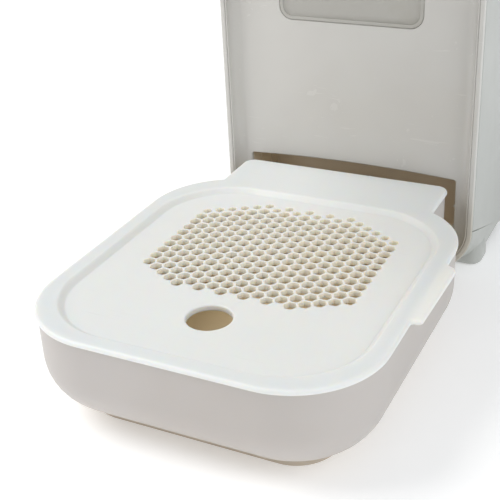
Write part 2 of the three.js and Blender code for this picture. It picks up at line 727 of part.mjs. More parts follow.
function dosingHousing() {
  const top = wheelLow - gap;
  const rimInner = wheelRadius + 0.8 * toothModule + 1;
  const tongue = pinionRadius + 5;
  const plate = join(
    rod(hopperRadius, 'z', dosingLow, top, 0, hopperY, 28),
    block(-tongue, tongue, hopperY, pinionY + tongue, dosingLow, top),
    rod(3, 'z', top - 1, wheelHigh - 0.6, 0, hopperY, 16),
  );
  const rim = cut(solid(rod(hopperRadius, 'z', top - 1, hopperLow - gap, 0, hopperY, 28)),
    rod(rimInner, 'z', top - 2, hopperLow + 1, 0, hopperY, 28),
    block(-tongue - 1, tongue + 1, hopperY + rimInner - 12, pinionY + 30, top, hopperLow + 1));
  return cut(plate.add(rim),
    rod(pocketRadius + 1.5, 'z', dosingLow - 1, top + 1, 0, dropY, 20),
    rod(4, 'z', dosingLow - 1, top + 1, 0, pinionY, 16));
}

addPart('dosing_housing', dosingHousing(), greyPlastic);
addPart('dosing_wheel', dosingWheel(), whitePlastic);
addPart('drive_gear', join(
  extrude(gearShape(pinionTeeth, pinionY, -Math.PI / 2), 'z', wheelLow, wheelHigh),
  rod(2.4, 'z', dosingLow - 10, wheelLow + 1, 0, pinionY, 12),
), steel);
addPart('dosing_motor', cut(solid(rod(13, 'z', headClearance + wall + 2, dosingLow - gap, 0,
  pinionY, 24)), rod(2.8, 'z', dosingLow - 12, dosingLow + 1, 0, pinionY, 12)), steel);

const chuteRadius = pocketRadius + 3.5;
addPart('powder_chute', turned([[chuteRadius - 2, dosingLow - 9], [chuteRadius, dosingLow - 9],
  [chuteRadius, dosingLow - gap], [chuteRadius - 2, dosingLow - gap]], 0, dropY, 20), whitePlastic);

const jetRadius = 18;
const jetTube = 2.5;
const jetHeight = dosingLow - 4;
const jetProfile = Array.from({ length: 6 }, (_, index) => {
  const angle = (index * Math.PI) / 3;
  return [jetRadius + jetTube * Math.cos(angle), jetHeight + jetTube * Math.sin(angle)];
});
addPart('water_jet_ring', turned(jetProfile, 0, dropY, 18), steel);

const funnelTop = jetHeight - jetTube - 4;
const spoutLow = headClearance - 21;
addPart('mixing_funnel', turned([
  [funnelRadius, funnelTop], [funnelRadius, headClearance - 0.4],
  [funnelRadius + 7, headClearance - 0.4], [funnelRadius + 7, headClearance - 3.5],
  [funnelRadius - 3, headClearance - 3.5], [8, headClearance - 13], [7, spoutLow],
  [5, spoutLow], [5.5, headClearance - 12], [funnelRadius - 2.5, headClearance + 5],
  [funnelRadius - 2.5, funnelTop],
], 0, dropY, 24), clearPlastic);

// ---- Water tank ----

function tankPlan(inset) {
  const half = bodyHalf - 2.5 - inset;
  const front = Math.max(6 - inset, 1);
  return rectangle(-half, half, tankFront + inset, tankBack - inset,
    [front, front, plinthCorner - inset, plinthCorner - inset]);
}

const spigotRadius = 9;
const spigotBore = 6;
const spigotLow = plinthHeight - 8;
const cupRadius = 11;
const tankFloor = 3;

addPart('water_tank', cut(
  join(extrude(tankPlan(0), 'z', tankLow, tankHigh),
    rod(spigotRadius, 'z', spigotLow, tankLow + 1, 0, tankAxisY)),
  extrude(tankPlan(wall), 'z', tankLow + tankFloor, tankHigh + 1),
  rod(spigotBore, 'z', spigotLow - 1, tankLow + tankFloor + 1, 0, tankAxisY)), clearPlastic);

function tankLid() {
  const low = tankHigh + gap;
  const plug = cut(solid(extrude(tankPlan(wall + 0.5), 'z', low - 4, low + 1)),
    extrude(tankPlan(wall + 2.5), 'z', low - 5, low));
  return join(
    extrude(tankPlan(gap), 'z', low, low + 2.7),
    extrude(rectangle(-22, 22, tankAxisY - 5, tankAxisY + 5, 5), 'z', low + 2, deckHeight - 1),
  ).add(plug);
}

addPart('tank_lid', tankLid(), whitePlastic);

const sealMiddle = (spigotRadius + cupRadius) / 2;
const sealTube = (cupRadius - spigotRadius) / 2 - 0.35;
const sealProfile = Array.from({ length: 6 }, (_, index) => {
  const angle = (index * Math.PI) / 3;
  return [sealMiddle + sealTube * Math.cos(angle), spigotLow + 3 + sealTube * Math.sin(angle)];
});
addPart('tank_seal', turned(sealProfile, 0, tankAxisY, 18), siliconeWhite);

const valveLow = tankLow + tankFloor + 0.4;
addPart('valve_plunger', turned([[0, spigotLow + 1], [2, spigotLow + 1], [2, valveLow],
  [spigotBore + 2.5, valveLow], [spigotBore + 2.5, valveLow + 2], [0, valveLow + 2]],
0, tankAxisY, 20), siliconeWhite);

const cupLow = spigotLow - 6;
addPart('tank_dock', turned([[3, cupLow], [16.6, cupLow], [16.6, plinthHeight - gap],
  [cupRadius, plinthHeight - gap], [cupRadius, cupLow + 3], [3, cupLow + 3]],
0, tankAxisY), greyPlastic);

// ---- Heater, pump, hoses and power ----

const heaterX = 40 - innerHalf;
const heaterY = columnDepth - 34;
const heaterRadius = 22;
const heaterRib = 2;
const heaterLow = slotTop + 32;
const heaterHigh = headClearance - 20;
addPart('water_heater', join(
  rod(heaterRadius, 'z', heaterLow, heaterHigh, heaterX, heaterY),
  rod(heaterRadius + heaterRib, 'z', heaterLow + 12, heaterLow + 16, heaterX, heaterY),
  rod(heaterRadius + heaterRib, 'z', heaterHigh - 16, heaterHigh - 12, heaterX, heaterY),
), steel);

const pumpX = innerHalf - 40;
const pumpY = columnDepth - 29;
const pumpLow = slotTop + 10;
const pumpHigh = pumpLow + 48;
const pumpNeck = 13;
addPart('water_pump', join(
  rod(17, 'z', pumpLow, pumpLow + 18, pumpX, pumpY),
  rod(pumpNeck, 'z', pumpLow + 17, pumpHigh, pumpX, pumpY),
), greyPlastic);

// A hose along a smooth curve through hand-set points.
function hose(name, points, radius) {
  const curve = new THREE.CatmullRomCurve3(points.map(([x, y, z]) => v(x, y, z)));
  const section = polygon(8, radius);
  const tube = new THREE.ExtrudeGeometry(section, { steps: 16, extrudePath: curve });
  addPart(name, solid(tube), siliconeWhite);
}

const hoseRadius = 3.5;
const hoseGap = 0.6;
hose('hose_tank_pump', [
  [0, tankAxisY, cupLow - hoseGap], [0, tankAxisY, cupLow - hoseGap - 2],
  [4, tankAxisY - 12, floorTop + 5], [22, columnDepth - 5, floorTop + 6],
  [pumpX - 2, pumpY + 5, floorTop + 16], [pumpX, pumpY, pumpLow - 14],
  [pumpX, pumpY, pumpLow - hoseGap],
], hoseRadius);
const betweenX = (pumpX - pumpNeck + heaterX + heaterRadius + heaterRib) / 2;
hose('hose_pump_heater', [
  [pumpX, pumpY, pumpHigh + hoseGap], [pumpX, pumpY, pumpHigh + 12],
  [(pumpX + betweenX) / 2, pumpY, pumpHigh + 24], [betweenX, pumpY, pumpHigh + 8],
  [betweenX - 3, heaterY, heaterLow - 12], [heaterX + 14, heaterY, heaterLow - 24],
  [heaterX, heaterY, heaterLow - 10], [heaterX, heaterY, heaterLow - hoseGap],
], hoseRadius);
const jetEnd = -jetRadius - jetTube - hoseGap;
hose('hose_heater_jet', [
  [heaterX, heaterY, heaterHigh + hoseGap], [heaterX, heaterY, heaterHigh + 10],
  [heaterX, heaterY - 40, headClearance + 18], [heaterX, hopperY + 25, jetHeight - 10],
  [heaterX, dropY + 10, jetHeight - 3], [(heaterX + jetEnd) / 2, dropY, jetHeight],
  [jetEnd, dropY, jetHeight],
], jetTube);

const supplyLeft = 10 - innerHalf;
const supplyWidth = 50;
addPart('power_supply', block(supplyLeft, supplyLeft + supplyWidth, dockDepth + 17,
  columnDepth - 7, floorTop + gap, slotTop), greyPlastic);

function powerInlet() {
  const front = tankBack - 16;
  const body = cut(solid(block(inletX - inletHalf, inletX + inletHalf, front, tankBack,
    inletLow, inletHigh)),
  block(inletX - inletHalf + 3, inletX + inletHalf - 3, front + 4, tankBack + 1, inletLow + 3,
    inletHigh - 3));
  const pinZ = (inletLow + inletHigh) / 2;
  const pins = [-4.3, 4.3].map((x) => rod(1.2, 'y', front + 3, tankBack - 3, inletX + x, pinZ, 10));
  return body.add(join(...pins));
}

addPart('power_inlet', powerInlet(), blackGloss);

// The footprint's middle, between the tab and the left edge and from the tray to the tank.
machine.position.set(-tabReach / 2, -(trayFrontY + tankBack) / 2, 0);

const object = new THREE.Group();
object.add(machine);

export default object;
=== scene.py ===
import math
import bmesh
import bpy
import numpy as np
from mathutils import Euler, Matrix, Vector, geometry


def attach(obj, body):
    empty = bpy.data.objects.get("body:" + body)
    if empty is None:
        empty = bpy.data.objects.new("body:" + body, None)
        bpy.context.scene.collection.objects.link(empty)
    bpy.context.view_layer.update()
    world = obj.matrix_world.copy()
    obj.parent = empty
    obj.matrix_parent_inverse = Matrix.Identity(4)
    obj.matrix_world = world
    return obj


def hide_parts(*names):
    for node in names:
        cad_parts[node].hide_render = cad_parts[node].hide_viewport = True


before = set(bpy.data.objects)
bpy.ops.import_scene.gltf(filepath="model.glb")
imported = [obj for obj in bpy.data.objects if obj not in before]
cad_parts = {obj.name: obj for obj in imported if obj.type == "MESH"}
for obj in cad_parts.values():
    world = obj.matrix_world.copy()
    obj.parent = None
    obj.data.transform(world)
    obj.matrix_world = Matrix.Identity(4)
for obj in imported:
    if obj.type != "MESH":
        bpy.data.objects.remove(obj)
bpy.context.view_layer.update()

# Lengths below are millimetres from the middle of the machine's front lips, on the table;
# this is where that point lies in the frame.
machineZero = np.array([-3.5, 28.9, 0.0])

# ---- camera, floor and light ----

view = {"azimuth": 27.48, "elevation": 27.78, "roll": -3.04, "lens": 72.08,
        "place": (0.201875, -0.496933, 0.304203)}
camera = bpy.data.objects.new("camera", bpy.data.cameras.new("camera"))
camera.data.lens = view["lens"]
camera.data.sensor_width = 36
camera.data.clip_start = 0.01
turn = Euler((math.radians(90 - view["elevation"]), 0, math.radians(view["azimuth"]))).to_matrix()
camera.matrix_world = Matrix.Translation(view["place"]) @ (
    turn @ Matrix.Rotation(math.radians(view["roll"]), 3, "Z")).to_4x4()
bpy.context.collection.objects.link(camera)
bpy.context.scene.camera = camera
bpy.context.scene.view_settings.view_transform = "Standard"

studio = {
    "world": (0.93, 0.95, 0.97), "worldStrength": 0.45,
    "lights": {
        "key": {"place": (-1.25, -0.45, 1.55), "aim": (0, -0.05, 0.06), "size": 1.5, "watts": 25,
                "colour": (1.0, 0.99, 0.975)},
        "right": {"place": (1.6, -0.35, 1.1), "aim": (0.05, 0, 0.08), "size": 1.5, "watts": 13,
                  "colour": (0.95, 0.98, 1.0)},
        "front": {"place": (-0.3, -1.8, 0.45), "aim": (0, 0, 0.12), "size": 1.3, "watts": 2,
                  "colour": (1.0, 0.95, 0.91)},
    },
}
for name, lamp in studio["lights"].items():
    data = bpy.data.lights.new(name, "AREA")
    data.shape = "DISK"
    data.size = lamp["size"]
    data.energy = lamp["watts"]
    data.color = lamp["colour"]
    light = bpy.data.objects.new(name, data)
    aim = Vector(lamp["aim"]) - Vector(lamp["place"])
    light.matrix_world = Matrix.Translation(lamp["place"]) @ aim.to_track_quat("-Z", "Y").to_matrix().to_4x4()
    bpy.context.collection.objects.link(light)


# ---- materials ----

class Wire:
    # wraps a socket, so that maths on it adds Math nodes
    def __init__(self, looks, socket):
        self.looks, self.socket = looks, socket

    def maths(self, operation, left, right, clamp=False):
        return self.looks.node("ShaderNodeMath", {"operation": operation, "use_clamp": clamp},
                               {0: left, 1: right})

    def __add__(self, other):
        return self.maths("ADD", self, other)

    def __radd__(self, other):
        return self.maths("ADD", other, self)

    def __sub__(self, other):
        return self.maths("SUBTRACT", self, other)

    def __rsub__(self, other):
        return self.maths("SUBTRACT", other, self)

    def __mul__(self, other):
        return self.maths("MULTIPLY", self, other)

    def __rmul__(self, other):
        return self.maths("MULTIPLY", other, self)

    def clamped(self):
        return self.maths("ADD", self, 0.0, True)


class Looks:
    # one material and the nodes that make it
    def __init__(self, name):
        self.material = bpy.data.materials.new(name)
        self.material.use_nodes = True
        self.tree = self.material.node_tree
        self.shader = self.tree.nodes["Principled BSDF"]
        self.where = self.node("ShaderNodeTexCoord", out="Object")

    def node(self, kind, settings=None, values=None, out=0):
        node = self.tree.nodes.new(kind)
        for key, value in (settings or {}).items():
            if key == "stops":
                ramp = node.color_ramp.elements
                for index, (position, colour) in enumerate(value):
                    stop = ramp[index] if index < 2 else ramp.new(position)
                    stop.position, stop.color = position, colour
            else:
                setattr(node, key, value)
        for key, value in (values or {}).items():
            if isinstance(value, Wire):
                self.tree.links.new(value.socket, node.inputs[key])
            else:
                node.inputs[key].default_value = value
        return Wire(self, node.outputs[out])

    def noise(self, scale, detail=2.0, rough=0.5, stretch=None, turned=(0, 0, 0)):
        spot = self.where
        if stretch:
            spot = self.node("ShaderNodeMapping", {}, {"Vector": spot, "Scale": stretch,
                                                       "Rotation": turned})
        return self.node("ShaderNodeTexNoise", {}, {"Vector": spot, "Scale": scale,
                                                    "Detail": detail, "Roughness": rough})

    def ramp(self, factor, low, high):
        # 0 below low and 1 above high
        return self.node("ShaderNodeMapRange", {"interpolation_type": "SMOOTHSTEP"},
                         {"Value": factor, "From Min": low, "From Max": high})

    def mix(self, factor, first, second):
        return self.node("ShaderNodeMix", {"data_type": "RGBA"},
                         {0: factor, 6: first, 7: second}, 2)

    def set(self, **values):
        for key, value in values.items():
            socket = self.shader.inputs[key.replace("_", " ")]
            if isinstance(value, Wire):
                self.tree.links.new(value.socket, socket)
            else:
                socket.default_value = value

    def bump(self, height, distance, strength=1.0):
        normal = self.node("ShaderNodeBump", {}, {"Height": height, "Distance": distance,
                                                  "Strength": strength})
        self.tree.links.new(normal.socket, self.shader.inputs["Normal"])


def rgb(colour):
    return (*colour, 1.0)


# Moulded plastic: soft patches of tone, fine spark texture, hairline scuffs and dust. A finish may
# turn darker and warmer near the table, as painted shade.
def plastic(name, colour, shade, worn, roughness, **look):
    looks = Looks(name)
    patches = looks.noise(9.0, 3.0, 0.55)
    mottle = looks.noise(70.0, 3.0, 0.6)
    mottled = look.get("mottle", 0.12)
    grain = looks.noise(2600.0, 2.0, 0.6)
    hairs = looks.noise(30.0, 3.0, 0.65, (1.0, 26.0, 12.0), (0.3, 0.5, 0.7))
    scuff = looks.ramp(hairs, 0.63, 0.74) * look.get("wear", 0.5)
    dust = looks.ramp(looks.noise(900.0, 1.0, 0.5), 0.74, 0.80) * look.get("dust", 0.25)
    tone = looks.mix(looks.ramp(patches, 0.30, 0.70), rgb(colour), rgb(shade))
    tone = looks.mix((scuff * 0.35 + dust * 0.5).clamped(), tone, rgb(worn))
    if look.get("low"):
        # painted shade: darker and warmer towards the table
        height = looks.node("ShaderNodeSeparateXYZ", {}, {0: looks.where}, 2)
        tone = looks.mix(looks.ramp(height, look["lowFrom"], look["lowTo"]), rgb(look["low"]), tone)
    looks.set(Base_Color=tone,
              Roughness=roughness + (patches - 0.5) * mottled + (mottle - 0.5) * mottled
              + scuff * 0.14 + dust * 0.2,
              IOR=1.49, Specular_IOR_Level=0.5, Coat_Weight=look.get("coat", 0.0), Coat_Roughness=0.12)
    if look.get("scatter"):
        looks.set(Subsurface_Weight=look["scatter"], Subsurface_Radius=(1.0, 0.72, 0.5),
                  Subsurface_Scale=look.get("scatterDepth", 0.004))
    looks.bump(grain * look.get("grain", 0.5) + mottle * (mottled * 5) - scuff * 0.5,
               look.get("depth", 0.00003))
    return looks.material


# Clear plastic: light passes through, with faint flow lines and handling haze.
def clear(name, colour, shade, roughness, through):
    looks = Looks(name)
    flow = looks.noise(16.0, 2.0, 0.5, (1.0, 1.0, 0.25))
    haze = looks.ramp(looks.noise(45.0, 4.0, 0.6), 0.45, 0.75)
    looks.set(Base_Color=looks.mix(haze * 0.5, rgb(colour), rgb(shade)),
              Roughness=roughness + haze * 0.08, IOR=1.49, Transmission_Weight=through)
    looks.bump(flow, 0.0002)
    return looks.material


# Brushed or drawn metal with fine lines and darker spots of oxide.
def metal(name, colour, shade, roughness):
    looks = Looks(name)
    lines = looks.noise(60.0, 3.0, 0.6, (1.0, 1.0, 30.0))
    spots = looks.ramp(looks.noise(140.0, 3.0, 0.6), 0.58, 0.72)
    looks.set(Base_Color=looks.mix(spots * 0.5, rgb(colour), rgb(shade)),
              Metallic=1.0, Roughness=roughness + (lines - 0.5) * 0.22 + spots * 0.1)
    looks.bump(lines, 0.00004)
    return looks.material


# Circuit board: solder mask with rows of pale pads.
def board(name, colour, shade):
    looks = Looks(name)
    weave = looks.noise(420.0, 2.0, 0.5)
    pads = looks.node("ShaderNodeTexVoronoi", {}, {"Vector": looks.where, "Scale": 150.0,
                                                   "Randomness": 0.35})
    pad = 1 - looks.ramp(pads, 0.16, 0.22)
    looks.set(Base_Color=looks.mix(pad, looks.mix(weave, rgb(colour), rgb(shade)),
                                   (0.62, 0.60, 0.52, 1)),
              Metallic=pad * 0.8, Roughness=0.45 - pad * 0.15)
    looks.bump(pad + weave * 0.3, 0.00008)
    return looks.material


# Each plastic is given its colour, its shade in the patches and its worn colour; each of the others,
# its colour and its shade.
finishes = {
    "cover": plastic("cover_white", (0.835, 0.828, 0.798), (0.815, 0.805, 0.772), (0.68, 0.66, 0.61),
                     roughness=0.44, grain=0.5, scatter=0.75, scatterDepth=0.007),
    # the cell walls are lighter and warmer than the cover's plastic: painted light glowing through the thin
    # walls
    "cells": plastic("cell_cream_painted_light", (0.97, 0.92, 0.81), (0.95, 0.88, 0.75), (0.80, 0.70, 0.52),
                     roughness=0.46, grain=0.4, scatter=0.5, scatterDepth=0.006),
    # the tray's low colour paints shade on the ring and the bowl's lower band near the table
    "tray": plastic("tray_white_painted_low_shade", (0.535, 0.503, 0.480), (0.512, 0.476, 0.446), (0.54, 0.50, 0.45),
                    roughness=0.46, grain=0.5, scatter=0.15, wear=0.25, low=(0.54, 0.47, 0.385),
                    lowFrom=0.002, lowTo=0.022),
    # a saturated tan in place of the cream plastic: painted warm shade inside the tray
    "inside": plastic("tray_inside_painted_shade", (0.99, 0.82, 0.54), (0.97, 0.78, 0.49), (0.70, 0.54, 0.32),
                      roughness=0.38, wear=0.8, grain=0.4),
    "shell": plastic("shell_white", (0.485, 0.495, 0.468), (0.465, 0.472, 0.444), (0.50, 0.50, 0.47),
                     roughness=0.40, wear=0.2),
    # the panel's low colour paints shade: the tray's shadow and warm reflection on the panel's lower part
    "panel": plastic("panel_gloss_painted_low_shade", (0.650, 0.640, 0.610), (0.615, 0.598, 0.568), (0.57, 0.55, 0.52),
                     roughness=0.27, grain=0.12, dust=0.03, wear=0.10, low=(0.52, 0.485, 0.41),
                     lowFrom=0.020, lowTo=0.068, mottle=0.02, coat=0.25, depth=0.00002),
    "foot": plastic("foot_rubber", (0.600, 0.605, 0.580), (0.57, 0.57, 0.54), (0.45, 0.44, 0.42),
                    roughness=0.58, grain=0.9),
    "dock": plastic("dock_brown", (0.90, 0.79, 0.62), (0.84, 0.72, 0.55), (0.94, 0.85, 0.70),
                    roughness=0.50, grain=0.8, wear=0.9),
    "grey": plastic("grey_plastic", (0.27, 0.28, 0.29), (0.235, 0.245, 0.25), (0.38, 0.38, 0.38),
                    roughness=0.5, grain=0.8),
    "silicone": plastic("silicone_white", (0.80, 0.77, 0.70), (0.75, 0.71, 0.63), (0.66, 0.62, 0.55),
                        roughness=0.6, grain=0.3, scatter=0.25),
    "black": plastic("black_gloss", (0.012, 0.013, 0.016), (0.018, 0.019, 0.023), (0.06, 0.06, 0.06),
                     roughness=0.14, grain=0.05, coat=0.6, depth=0.00001),
    "clear": clear("clear_plastic", (0.93, 0.95, 0.95), (0.86, 0.88, 0.88), roughness=0.05, through=0.92),
    "guard": clear("guard_clear", (0.66, 0.645, 0.60), (0.60, 0.575, 0.51), roughness=0.08, through=0.30),
    "steel": metal("brushed_steel", (0.62, 0.63, 0.64), (0.42, 0.42, 0.42), roughness=0.34),
    "board": board("board_green", (0.015, 0.10, 0.045), (0.01, 0.075, 0.035)),
}

sky = bpy.data.worlds.new("studio")
sky.use_nodes = True
sky.node_tree.nodes["Background"].inputs[0].default_value = rgb(studio["world"])
sky.node_tree.nodes["Background"].inputs[1].default_value = studio["worldStrength"]
bpy.context.scene.world = sky

floorLooks = Looks("floor_paper")
paper = floorLooks.noise(4.0, 3.0, 0.6)
floorLooks.set(Base_Color=floorLooks.mix(paper, (0.97, 0.97, 0.97, 1), (0.95, 0.95, 0.955, 1)),
               Roughness=0.9, Emission_Color=(1, 1, 1, 1), Emission_Strength=0.24)
floorMesh = bpy.data.meshes.new("floor")
floorMesh.from_pydata([(-9, -9, 0), (9, -9, 0), (9, 9, 0), (-9, 9, 0)], [], [(0, 1, 2, 3)])
floorMesh.materials.append(floorLooks.material)
floor = bpy.data.objects.new("floor", floorMesh)
bpy.context.collection.objects.link(floor)
print("stage: camera, light and materials")


# ---- surfaces ----

def arc(x, y, radius, start, end, count):
    # a point for each angle from start to end, in degrees: middle + radius * (cos, sin)
    t = np.radians(np.linspace(start, end, count))
    return np.stack([x + radius * np.cos(t), y + radius * np.sin(t)], 1)


def rounded(corners, radii, count=12, closed=True):
    # a line through corners, each replaced by the arc of its radius that touches both sides
    corners = np.array(corners, float)
    last = len(corners) - 1
    runs = []
    for index, radius in enumerate(radii):
        corner = corners[index]
        if radius <= 0 or (not closed and index in (0, last)):
            runs.append(corner[None])
            continue
        back = corners[index - 1] - corner
        ahead = corners[(index + 1) % (last + 1)] - corner
        back, ahead = back / np.linalg.norm(back), ahead / np.linalg.norm(ahead)
        half = math.acos(np.clip(back @ ahead, -1, 1)) / 2
        middle = (back + ahead) / np.linalg.norm(back + ahead)
        centre = corner + middle * radius / math.sin(half)
        first = corner + back * radius / math.tan(half) - centre
        sweep = math.pi - 2 * half
        sign = np.sign(-back[0] * ahead[1] + back[1] * ahead[0])
        start = math.degrees(math.atan2(first[1], first[0]))
        runs.append(arc(*centre, radius, start, start + sign * math.degrees(sweep), count))
    return np.concatenate(runs)


def rectangle(left, right, low, high, radii, count=12):
    radii = radii if isinstance(radii, (list, tuple)) else [radii] * 4
    return rounded([(left, low), (right, low), (right, high), (left, high)], radii, count)


def circle(x, y, radius, count=48):
    return arc(x, y, radius, 0, 360, count + 1)[:-1]


def offset(loop, distance):
    # each point of a counterclockwise loop moves out until both of its sides have moved by distance
    before = loop - np.roll(loop, 1, 0)
    after = np.roll(loop, -1, 0) - loop
    before /= np.linalg.norm(before, axis=1, keepdims=True)
    after /= np.linalg.norm(after, axis=1, keepdims=True)
    first = np.stack([before[:, 1], -before[:, 0]], 1)
    second = np.stack([after[:, 1], -after[:, 0]], 1)
    both = first + second
    both /= np.linalg.norm(both, axis=1, keepdims=True)
    return loop + both * (distance / np.maximum((both * first).sum(1), 0.4))[:, None]


def edgeRows(low, high, topRound, lowRound, steps=4):
    # inset and height from the lower flat to the upper: a quarter circle, the wall, another
    t = np.linspace(0, math.pi / 2, steps + 1)
    under = np.stack([lowRound * (1 - np.sin(t)), low + lowRound * (1 - np.cos(t))], 1)
    over = np.stack([topRound * (1 - np.cos(t)), high - topRound * (1 - np.sin(t))], 1)
    return np.concatenate([under, over])


# A flat outline (a, b) at a height lies in XY, XZ or YZ.
def levelXY(loop, height):
    return np.stack([loop[:, 0], loop[:, 1], np.full(len(loop), height)], 1)


def levelXZ(loop, height):
    return np.stack([loop[:, 0], np.full(len(loop), height), loop[:, 1]], 1)


def levelYZ(loop, height):
    return np.stack([np.full(len(loop), height), loop[:, 0], loop[:, 1]], 1)


def quadsOf(count, length, around=True):
    # the quads between count rows of length points each
    index = np.arange(count * length).reshape(count, length)
    ahead = np.roll(index, -1, 1)
    if not around:
        index, ahead = index[:, :-1], ahead[:, :-1]
    return np.stack([index[:-1], ahead[:-1], ahead[1:], index[1:]], -1).reshape(-1, 4)


class Shell:
    # gathers the grids and flat regions of one piece
    def __init__(self):
        self.points, self.faces, self.looks, self.total = [], [], [], 0

    def add(self, points, faces, look=0):
        self.points.append(points)
        self.faces.extend((np.asarray(faces) + self.total).tolist())
        self.looks.extend([look] * len(faces))
        self.total += len(points)

    def grid(self, rows, around=True, look=0):
        # rows of points, joined row to row by quads
        rows = np.asarray(rows)
        self.add(rows.reshape(-1, 3), quadsOf(*rows.shape[:2], around), look)

    def edge(self, loop, rows, level, side=-1, look=0):
        # the loop moved out (side 1) or in (side -1) by each row's inset, at that row's height
        self.grid([level(offset(loop, side * inset) if inset else loop, height)
                   for inset, height in rows], True, look)

    def flat(self, outer, holes, height, level, look=0):
        # the flat region inside outer and outside the holes, cut into triangles
        loops = [outer, *holes]
        starts = np.cumsum([0] + [len(loop) for loop in loops])
        lines = np.concatenate([np.stack([np.arange(len(loop)), np.roll(np.arange(len(loop)), -1)], 1)
                                + start for loop, start in zip(loops, starts)])
        flatPoints = np.concatenate(loops)
        found = geometry.delaunay_2d_cdt([Vector(p) for p in flatPoints], lines.tolist(), [], 1, 1e-6)
        corners = np.array([tuple(p) for p in found[0]])
        triangles = np.array(found[2])
        middles = corners[triangles].mean(1)
        a, b = flatPoints[lines[:, 0]], flatPoints[lines[:, 1]]
        inside = np.zeros(len(triangles), bool)
        for part in np.array_split(np.arange(len(triangles)), max(1, len(triangles) // 1500)):
            x, y = middles[part, 0, None], middles[part, 1, None]
            spans = (a[:, 1] > y) != (b[:, 1] > y)
            slope = (b[:, 0] - a[:, 0]) / np.where(b[:, 1] == a[:, 1], 1e-12, b[:, 1] - a[:, 1])
            inside[part] = ((x < a[:, 0] + slope * (y - a[:, 1])) & spans).sum(1) % 2 == 1
        self.add(level(corners, height), triangles[inside], look)

    def slab(self, outer, holes, low, high, level, topRound=0.6, lowRound=0.6, holeRound=0.3,
             steps=4, look=0):
        # a plate: an outline and its holes carried from low to high, with rounded edges
        self.edge(outer, edgeRows(low, high, topRound, lowRound, steps), level, -1, look)
        for hole in holes:
            self.edge(hole, edgeRows(low, high, holeRound, holeRound, steps), level, 1, look)
        wide = [offset(hole, holeRound) for hole in holes]
        self.flat(offset(outer, -topRound), wide, high, level, look)
        self.flat(offset(outer, -lowRound), wide, low, level, look)

    def turned(self, profile, x, y, sides=64, level=levelXY, look=0):
        # a profile of radius and height, turned round an axis through x, y
        spin = circle(0, 0, 1, sides)
        self.grid([level(spin * radius + (x, y), height) for radius, height in profile], True, look)


def weld(mesh):
    # joins the rims of grids and flats, and turns every face out
    work = bmesh.new()
    work.from_mesh(mesh)
    bmesh.ops.remove_doubles(work, verts=work.verts, dist=3e-6)
    bmesh.ops.dissolve_degenerate(work, dist=1e-7, edges=work.edges)
    bmesh.ops.recalc_face_normals(work, faces=work.faces)
    loose = sum(1 for edge in work.edges if len(edge.link_faces) != 2)
    work.to_mesh(mesh)
    work.free()
    return loose


def bake(obj):
    # the object's modifiers become its mesh
    bpy.context.view_layer.update()
    done = bpy.data.meshes.new_from_object(obj.evaluated_get(bpy.context.evaluated_depsgraph_get()))
    obj.modifiers.clear()
    obj.data = done


def solidOf(name, shell, looks):
    mesh = bpy.data.meshes.new(name)
    points = (np.concatenate(shell.points) + machineZero) / 1000
    mesh.from_pydata(points.tolist(), [], shell.faces)
    mesh.polygons.foreach_set("material_index", shell.looks)
    for look in looks:
        mesh.materials.append(finishes[look])
    loose = weld(mesh)
    if loose:
        print("  open edges on", name, loose)
    obj = bpy.data.objects.new(name, mesh)
    bpy.context.collection.objects.link(obj)
    return obj


def combine(obj, other, operation):
    step = obj.modifiers.new(operation.lower(), "BOOLEAN")
    step.operation, step.object, step.solver = operation, other, "EXACT"
    bake(obj)
    bpy.data.objects.remove(other)


def soften(obj, angle=32):
    mesh = obj.data
    mesh.shade_smooth()
    mesh.set_sharp_from_angle(angle=math.radians(angle))
    normals = obj.modifiers.new("normals", "WEIGHTED_NORMAL")
    normals.keep_sharp = True
    normals.weight = 60


def settle(obj, body, slotName, *nodes):
    soften(obj)
    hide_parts(*nodes)
    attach(obj, body)
    return obj


def piece(name, shell, looks, body, slotName, *nodes):
    return settle(solidOf(name, shell, looks), body, slotName, *nodes)


# ---- waste water tray ----

# the recess is its margins at the sides and back; the finger hole is x, y and radius
tray = {
    "half": 90.0, "front": -222.8, "back": -30.0, "corner": 45.8, "top": 59.0, "band": 56.6,
    "edgeRound": 1.5, "recess": (9.2, 11.9), "recessCorner": 42.6, "recessFloor": 56.2,
    "plateLow": 53.0, "neckHalf": 65.5, "neckCorner": 7.0,
    "tab": {"front": -148.0, "back": -92.0, "frontReach": 4.9, "backReach": 6.0,
            "bends": [0, 1.6, 2.6, 5.0, 3.0, 0]},
    "rib": {"inset": 3.9, "depth": 5.0, "thick": 1.5, "sunk": 0.2}, "brim": 1.3, "foot": 3.0,
    "cellPitch": 7.21, "cellRadius": 3.5, "cellBend": 0.9, "edgeCell": 0.76, "cellFront": 70.2,
    "fingerHole": (0.0, -176.4, 11.3), "holeRound": 0.9,
    "bowl": 27.0, "floor": 7.0, "wall": 2.4, "inset": 1.0, "neckLow": 14.0, "gap": 0.3,
    "ring": {"inset": 23.1, "width": 3.0, "high": 8.6, "bends": [0.7, 0.7, 0.3, 0.3]},
}


def trayOutline(inset, count=28):
    corner = tray["corner"] - inset
    return rectangle(-tray["half"] + inset, tray["half"] - inset, tray["front"] + inset,
                     tray["back"] - inset, corner, count)


